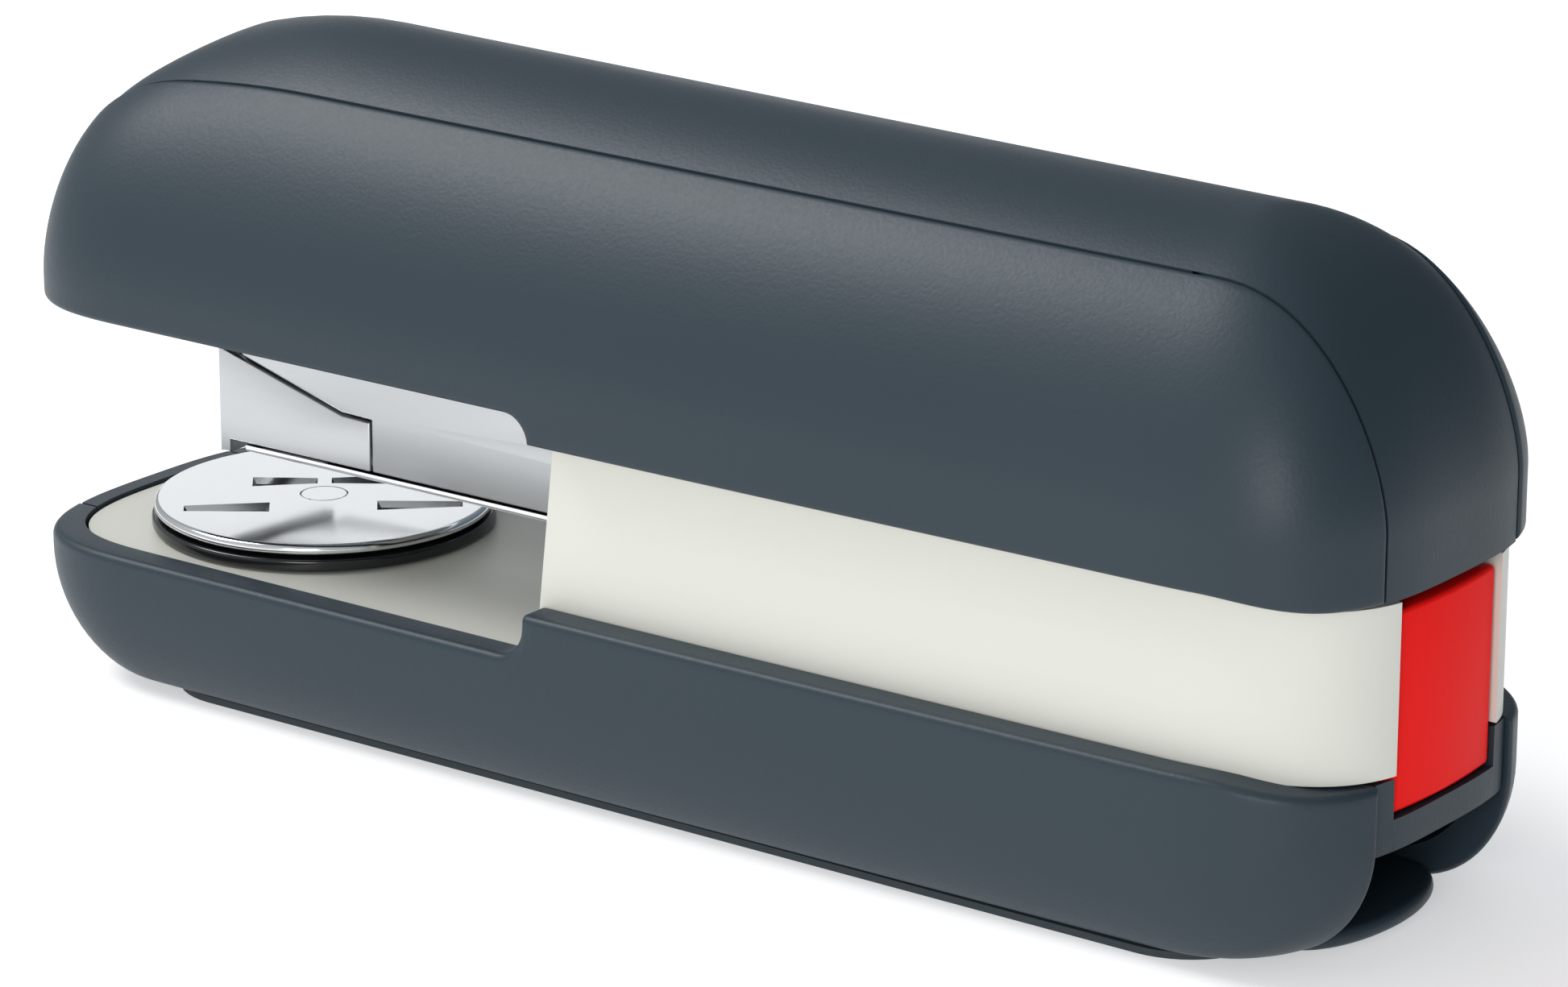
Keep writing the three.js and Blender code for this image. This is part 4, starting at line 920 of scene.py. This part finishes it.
step_x = HANDLE_STEP_X - HANDLE_STEP_R + HANDLE_STEP_R * np.sin(turn)
step_z = HANDLE_EDGE + HANDLE_STEP_R * np.cos(turn)
ahead_x = np.linspace(NOSE_START, step_x[0] - 0.6, 22)[1:]
behind_x = np.linspace(-8.2, TAIL_START, 26)[:-1]
handle_side_x = np.concatenate([ahead_x, step_x, [-9.2, -9.0, -8.7], behind_x])
handle_edge_z = np.interp(handle_side_x, step_x, step_z)


def dome(level, power):
    """Share of its full size that the dome has at a level from 0 to 1."""
    return max(1 - level**power, 0) ** (1 / power)


def crown_drop(x):
    """How far the ridge lies below its highest level: a fall to the rear and a dip over the nose."""
    run = np.clip((x - NOSE_START) / (TAIL_START - NOSE_START), 0, 1)
    ahead = np.maximum(NOSE_START + NOSE_FALL_RUN - x, 0) / (NOSE_FALL_RUN + NOSE_DEPTH)
    return CROWN_FALL * run + NOSE_FALL * ahead**2


def dome_level(half, wide):
    """The level at which the dome has narrowed to that half width."""
    return (1 - (half / wide) ** DOME_SIDE) ** (1 / DOME_SIDE)


def handle_side_grid(inset):
    """The handle shell's surface from its lower edge, up the side and over the dome to the groove."""
    wide, nose, tail = HALF_WIDTH - inset, NOSE_DEPTH - inset, TAIL_DEPTH - inset
    rise = HANDLE_TOP - inset - HANDLE_TURN
    row = plan_row(wide, nose, tail, handle_side_x)
    edge = side_heights(row, handle_edge_z)
    rows = [(row, edge + up) for up in NEAR_EDGE]
    for share in np.linspace(0, 1, 7)[1:]:
        rows.append((row, edge + NEAR_EDGE[-1] + (HANDLE_TURN - edge - NEAR_EDGE[-1]) * share))
    last = dome_level(CUT, wide)
    fall = wide * last ** (DOME_SIDE - 1) * (1 - last**DOME_SIDE) ** (1 / DOME_SIDE - 1)
    slope = math.hypot(rise, fall)
    near = last - NEAR_EDGE[::-1] / slope
    span = np.sin(np.linspace(0, 1, 30) * math.asin(near[0] ** (1 / 0.9))) ** 0.9
    for level in np.concatenate([span[1:-1], near]):
        half = max(wide * dome(level, DOME_SIDE), CUT)
        ends = nose * dome(level, DOME_NOSE), tail * dome(level, DOME_TAIL)
        row = plan_row(half, *ends, handle_side_x)
        rows.append((row, HANDLE_TURN + rise * level - level**4 * crown_drop(row[:, 0])))
    return np.stack([np.column_stack([r, z]) for r, z in rows])


outer = handle_side_grid(0.0)
edge_line = outer[0][:, [0, 2]]
outer = rolled(outer, MIDDLE + (0, 0, 25), edge_line, GROOVE_ROUND, EDGE_ROUND)
inner = handle_side_grid(HANDLE_WALL)
points, faces = wall(outer, inner)
for side, sign in ("left", -1), ("right", 1):
    shell = build(f"handle_shell_{side}", points * (1, sign, 1), faces, slate)
    stands_for(shell, f"handle_side_{side}")


def even(points, count):
    """The same line with its points evenly spaced."""
    steps = np.concatenate([[0], np.cumsum(np.linalg.norm(np.diff(points, axis=0), axis=1))])
    at = np.linspace(0, steps[-1], count)
    return np.column_stack([np.interp(at, steps, points[:, i]) for i in range(2)])


def handle_path(y, inset, count=44):
    """The band's side outline at y, over the handle from the nose edge to the rear edge."""
    wide, nose, tail = HALF_WIDTH - inset, NOSE_DEPTH - inset, TAIL_DEPTH - inset
    rise = HANDLE_TOP - inset - HANDLE_TURN
    last = dome_level(abs(y), wide)
    levels = last * (1 - (1 - np.linspace(0, 1, 160)) ** 3)
    sides = []
    for start, sign, depth, power, end_power, edge in (
        (NOSE_START, -1, nose, NOSE_POWER, DOME_NOSE, HANDLE_EDGE_FRONT),
        (TAIL_START, 1, tail, TAIL_POWER, DOME_TAIL, HANDLE_EDGE - REAR_DIP),
    ):
        line = [(outline_x(start, sign, depth, wide, power, y), edge)]
        for level in levels:
            half = max(wide * dome(level, DOME_SIDE), abs(y) + 1e-6)
            reach = outline_x(start, sign, depth * dome(level, end_power), half, power, y)
            line.append((reach, HANDLE_TURN + rise * level - level**4 * crown_drop(reach)))
        sides.append(even(np.array(line), count))
    front, rear = sides
    top_x = np.linspace(NOSE_START, TAIL_START, 40)[1:-1]
    top = np.column_stack([top_x, HANDLE_TURN + rise * last - last**4 * crown_drop(top_x)])
    return np.concatenate([front, top, rear[::-1]])


band_ys = np.linspace(-BAND_EDGE, BAND_EDGE, 41)
outlines = []
for y in band_ys:
    over = handle_path(y, HANDLE_BAND_DEPTH)
    under = handle_path(y, HANDLE_BAND_DEPTH + HANDLE_WALL)
    outlines.append(np.concatenate([over, under[::-1]]))
handle_middle = build("handle_middle", *loft_across(outlines, band_ys), slate)
stands_for(handle_middle, "handle_band")

# ---- Springs and screws ----
# The springs are drawn from round wire with closed end turns. The screws are pan heads with a
# cross recess, driven from below.


def geometry_tree(name, inputs):
    """A geometry node tree with named inputs and one geometry out."""
    tree = bpy.data.node_groups.new(name, "GeometryNodeTree")
    for label, kind, value in inputs:
        socket = tree.interface.new_socket(name=label, in_out="INPUT", socket_type=kind)
        if value is not None:
            socket.default_value = value
    tree.interface.new_socket(name="Geometry", in_out="OUTPUT", socket_type="NodeSocketGeometry")
    return tree, tree.nodes.new("NodeGroupInput"), tree.nodes.new("NodeGroupOutput")


def math_node(tree, operation, first, second=0.0, clamp=False):
    """The result of a sum on numbers or sockets."""
    node = tree.nodes.new("ShaderNodeMath")
    node.operation = operation
    node.use_clamp = clamp
    for socket, value in zip(node.inputs, (first, second)):
        if isinstance(value, (int, float)):
            socket.default_value = value
        else:
            tree.links.new(value, socket)
    return node.outputs[0]


POINTS_A_TURN = 40
coil, into, out = geometry_tree(
    "coil_spring",
    [
        ("Radius", "NodeSocketFloat", 0.004),
        ("Wire", "NodeSocketFloat", 0.001),
        ("Height", "NodeSocketFloat", 0.01),
        ("Turns", "NodeSocketFloat", 6.0),
        ("Material", "NodeSocketMaterial", None),
    ],
)
count = math_node(coil, "MULTIPLY", into.outputs["Turns"], POINTS_A_TURN)
line = coil.nodes.new("GeometryNodeMeshLine")
coil.links.new(count, line.inputs["Count"])
index = coil.nodes.new("GeometryNodeInputIndex").outputs[0]
turned = math_node(coil, "DIVIDE", index, POINTS_A_TURN)
angle = math_node(coil, "MULTIPLY", turned, 2 * math.pi)
pitched = math_node(coil, "SUBTRACT", turned, 1.0)
pitch_turns = math_node(coil, "SUBTRACT", into.outputs["Turns"], 2.0)
climb = math_node(coil, "DIVIDE", pitched, pitch_turns, clamp=True)
closed_turns = math_node(coil, "MULTIPLY", into.outputs["Wire"], 3.0)
free = math_node(coil, "SUBTRACT", into.outputs["Height"], closed_turns)
first_turn = math_node(coil, "MULTIPLY", into.outputs["Wire"], math_node(coil, "MINIMUM", turned, 1.0))
last_turn = math_node(coil, "SUBTRACT", turned, math_node(coil, "SUBTRACT", into.outputs["Turns"], 1.0))
last_turn = math_node(coil, "MULTIPLY", into.outputs["Wire"], math_node(coil, "MAXIMUM", last_turn, 0.0))
height = math_node(coil, "ADD", first_turn, math_node(coil, "MULTIPLY", free, climb))
height = math_node(coil, "ADD", height, last_turn)
height = math_node(coil, "ADD", height, math_node(coil, "MULTIPLY", into.outputs["Wire"], 0.5))
place = coil.nodes.new("ShaderNodeCombineXYZ")
for axis, function in ("X", "COSINE"), ("Y", "SINE"):
    wave = math_node(coil, function, angle)
    coil.links.new(math_node(coil, "MULTIPLY", wave, into.outputs["Radius"]), place.inputs[axis])
coil.links.new(height, place.inputs["Z"])
wound = coil.nodes.new("GeometryNodeSetPosition")
coil.links.new(line.outputs["Mesh"], wound.inputs["Geometry"])
coil.links.new(place.outputs["Vector"], wound.inputs["Position"])
curve = coil.nodes.new("GeometryNodeMeshToCurve")
coil.links.new(wound.outputs["Geometry"], curve.inputs["Mesh"])
section = coil.nodes.new("GeometryNodeCurvePrimitiveCircle")
section.inputs["Resolution"].default_value = 12
coil.links.new(math_node(coil, "MULTIPLY", into.outputs["Wire"], 0.5), section.inputs["Radius"])
swept = coil.nodes.new("GeometryNodeCurveToMesh")
swept.inputs["Fill Caps"].default_value = True
coil.links.new(curve.outputs["Curve"], swept.inputs["Curve"])
coil.links.new(section.outputs["Curve"], swept.inputs["Profile Curve"])
solid = coil.nodes.new("GeometryNodeRealizeInstances")
coil.links.new(swept.outputs["Mesh"], solid.inputs["Geometry"])
painted = coil.nodes.new("GeometryNodeSetMaterial")
coil.links.new(solid.outputs["Geometry"], painted.inputs["Geometry"])
coil.links.new(into.outputs["Material"], painted.inputs["Material"])
coil.links.new(painted.outputs["Geometry"], out.inputs["Geometry"])


def grown(name, tree, values, place, crease=35):
    """A piece that a geometry tree makes from named values, moved to its place in the frame."""
    made = bpy.data.objects.new(name, bpy.data.meshes.new(name))
    scene.collection.objects.link(made)
    modifier = made.modifiers.new(name, "NODES")
    modifier.node_group = tree
    for item in tree.interface.items_tree:
        if item.in_out == "INPUT":
            modifier[item.identifier] = values[item.name]
    settle(made)
    made.data.transform(place)
    smooth(made.data, crease)
    return made


ALONG_X = Matrix.Rotation(math.radians(90), 4, "Y")
for node, wire, turns, lying in (
    ("return_spring", 1.0, 7.5, False),
    ("lift_spring", 0.9, 5.5, False),
    ("button_spring", 0.6, 6.0, True),
    ("pusher_spring", 0.7, 12.0, True),
):
    low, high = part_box(node)
    middle = (low + high) / 2
    radius = (high.y - low.y) / 2 - wire * MM / 2
    start = Vector((low.x, middle.y, middle.z)) if lying else Vector((middle.x, middle.y, low.z))
    place = Matrix.Translation(start) @ (ALONG_X if lying else Matrix.Identity(4))
    values = {
        "Radius": radius,
        "Wire": wire * MM,
        "Height": (high.x - low.x) if lying else (high.z - low.z),
        "Turns": turns,
        "Material": spring_wire,
    }
    stands_for(grown(node + "_coil", coil, values, place), node)

screw, into, out = geometry_tree(
    "pan_screw",
    [
        ("Head Radius", "NodeSocketFloat", 0.0028),
        ("Head Height", "NodeSocketFloat", 0.0014),
        ("Shank Radius", "NodeSocketFloat", 0.0015),
        ("Length", "NodeSocketFloat", 0.008),
        ("Recess", "NodeSocketFloat", 0.0007),
        ("Material", "NodeSocketMaterial", None),
    ],
)


def cylinder_node(radius, depth, middle, taper_to=None):
    """An upright cylinder, or a cone where its top has another radius, with its base at middle."""
    cone = screw.nodes.new("GeometryNodeMeshCone")
    cone.inputs["Vertices"].default_value = 40
    screw.links.new(radius, cone.inputs["Radius Bottom"])
    screw.links.new(taper_to or radius, cone.inputs["Radius Top"])
    screw.links.new(depth, cone.inputs["Depth"])
    moved = screw.nodes.new("GeometryNodeTransform")
    offset = screw.nodes.new("ShaderNodeCombineXYZ")
    if isinstance(middle, float):
        offset.inputs["Z"].default_value = middle
    else:
        screw.links.new(middle, offset.inputs["Z"])
    screw.links.new(cone.outputs["Mesh"], moved.inputs["Geometry"])
    screw.links.new(offset.outputs["Vector"], moved.inputs["Translation"])
    return moved.outputs["Geometry"]


head_edge = math_node(screw, "MULTIPLY", into.outputs["Head Radius"], 0.78)
head = cylinder_node(head_edge, into.outputs["Head Height"], 0.0, into.outputs["Head Radius"])
shank_foot = math_node(screw, "MULTIPLY", into.outputs["Head Height"], 0.5)
shank = cylinder_node(into.outputs["Shank Radius"], into.outputs["Length"], shank_foot)
join = screw.nodes.new("GeometryNodeMeshBoolean")
join.operation = "UNION"
screw.links.new(head, join.inputs["Mesh 2"])
screw.links.new(shank, join.inputs["Mesh 2"])
cross = screw.nodes.new("GeometryNodeMeshBoolean")
cross.operation = "DIFFERENCE"
screw.links.new(join.outputs["Mesh"], cross.inputs["Mesh 1"])
long_side = math_node(screw, "MULTIPLY", into.outputs["Head Radius"], 1.25)
deep = math_node(screw, "MULTIPLY", into.outputs["Head Height"], 1.3)
for flip in False, True:
    bar = screw.nodes.new("GeometryNodeMeshCube")
    size = screw.nodes.new("ShaderNodeCombineXYZ")
    screw.links.new(into.outputs["Recess"] if flip else long_side, size.inputs["X"])
    screw.links.new(long_side if flip else into.outputs["Recess"], size.inputs["Y"])
    screw.links.new(deep, size.inputs["Z"])
    screw.links.new(size.outputs["Vector"], bar.inputs["Size"])
    screw.links.new(bar.outputs["Mesh"], cross.inputs["Mesh 2"])
solid = screw.nodes.new("GeometryNodeRealizeInstances")
screw.links.new(cross.outputs["Mesh"], solid.inputs["Geometry"])
painted = screw.nodes.new("GeometryNodeSetMaterial")
screw.links.new(solid.outputs["Geometry"], painted.inputs["Geometry"])
screw.links.new(into.outputs["Material"], painted.inputs["Material"])
screw.links.new(painted.outputs["Geometry"], out.inputs["Geometry"])

SCREW_R = 1.5
SCREW_HEAD_T = 1.4
SCREW_RECESS = 0.7
for node in sorted(n for n in frame["nodes"] if "_screw_" in n):
    low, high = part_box(node)
    middle = (low + high) / 2
    values = {
        "Head Radius": (high.x - low.x) / 2,
        "Head Height": SCREW_HEAD_T * MM,
        "Shank Radius": SCREW_R * MM,
        "Length": (high.z - low.z) - SCREW_HEAD_T * MM / 2,
        "Recess": SCREW_RECESS * MM,
        "Material": zinc,
    }
    place = Matrix.Translation((middle.x, middle.y, low.z))
    stands_for(grown(node + "_body", screw, values, place), node)
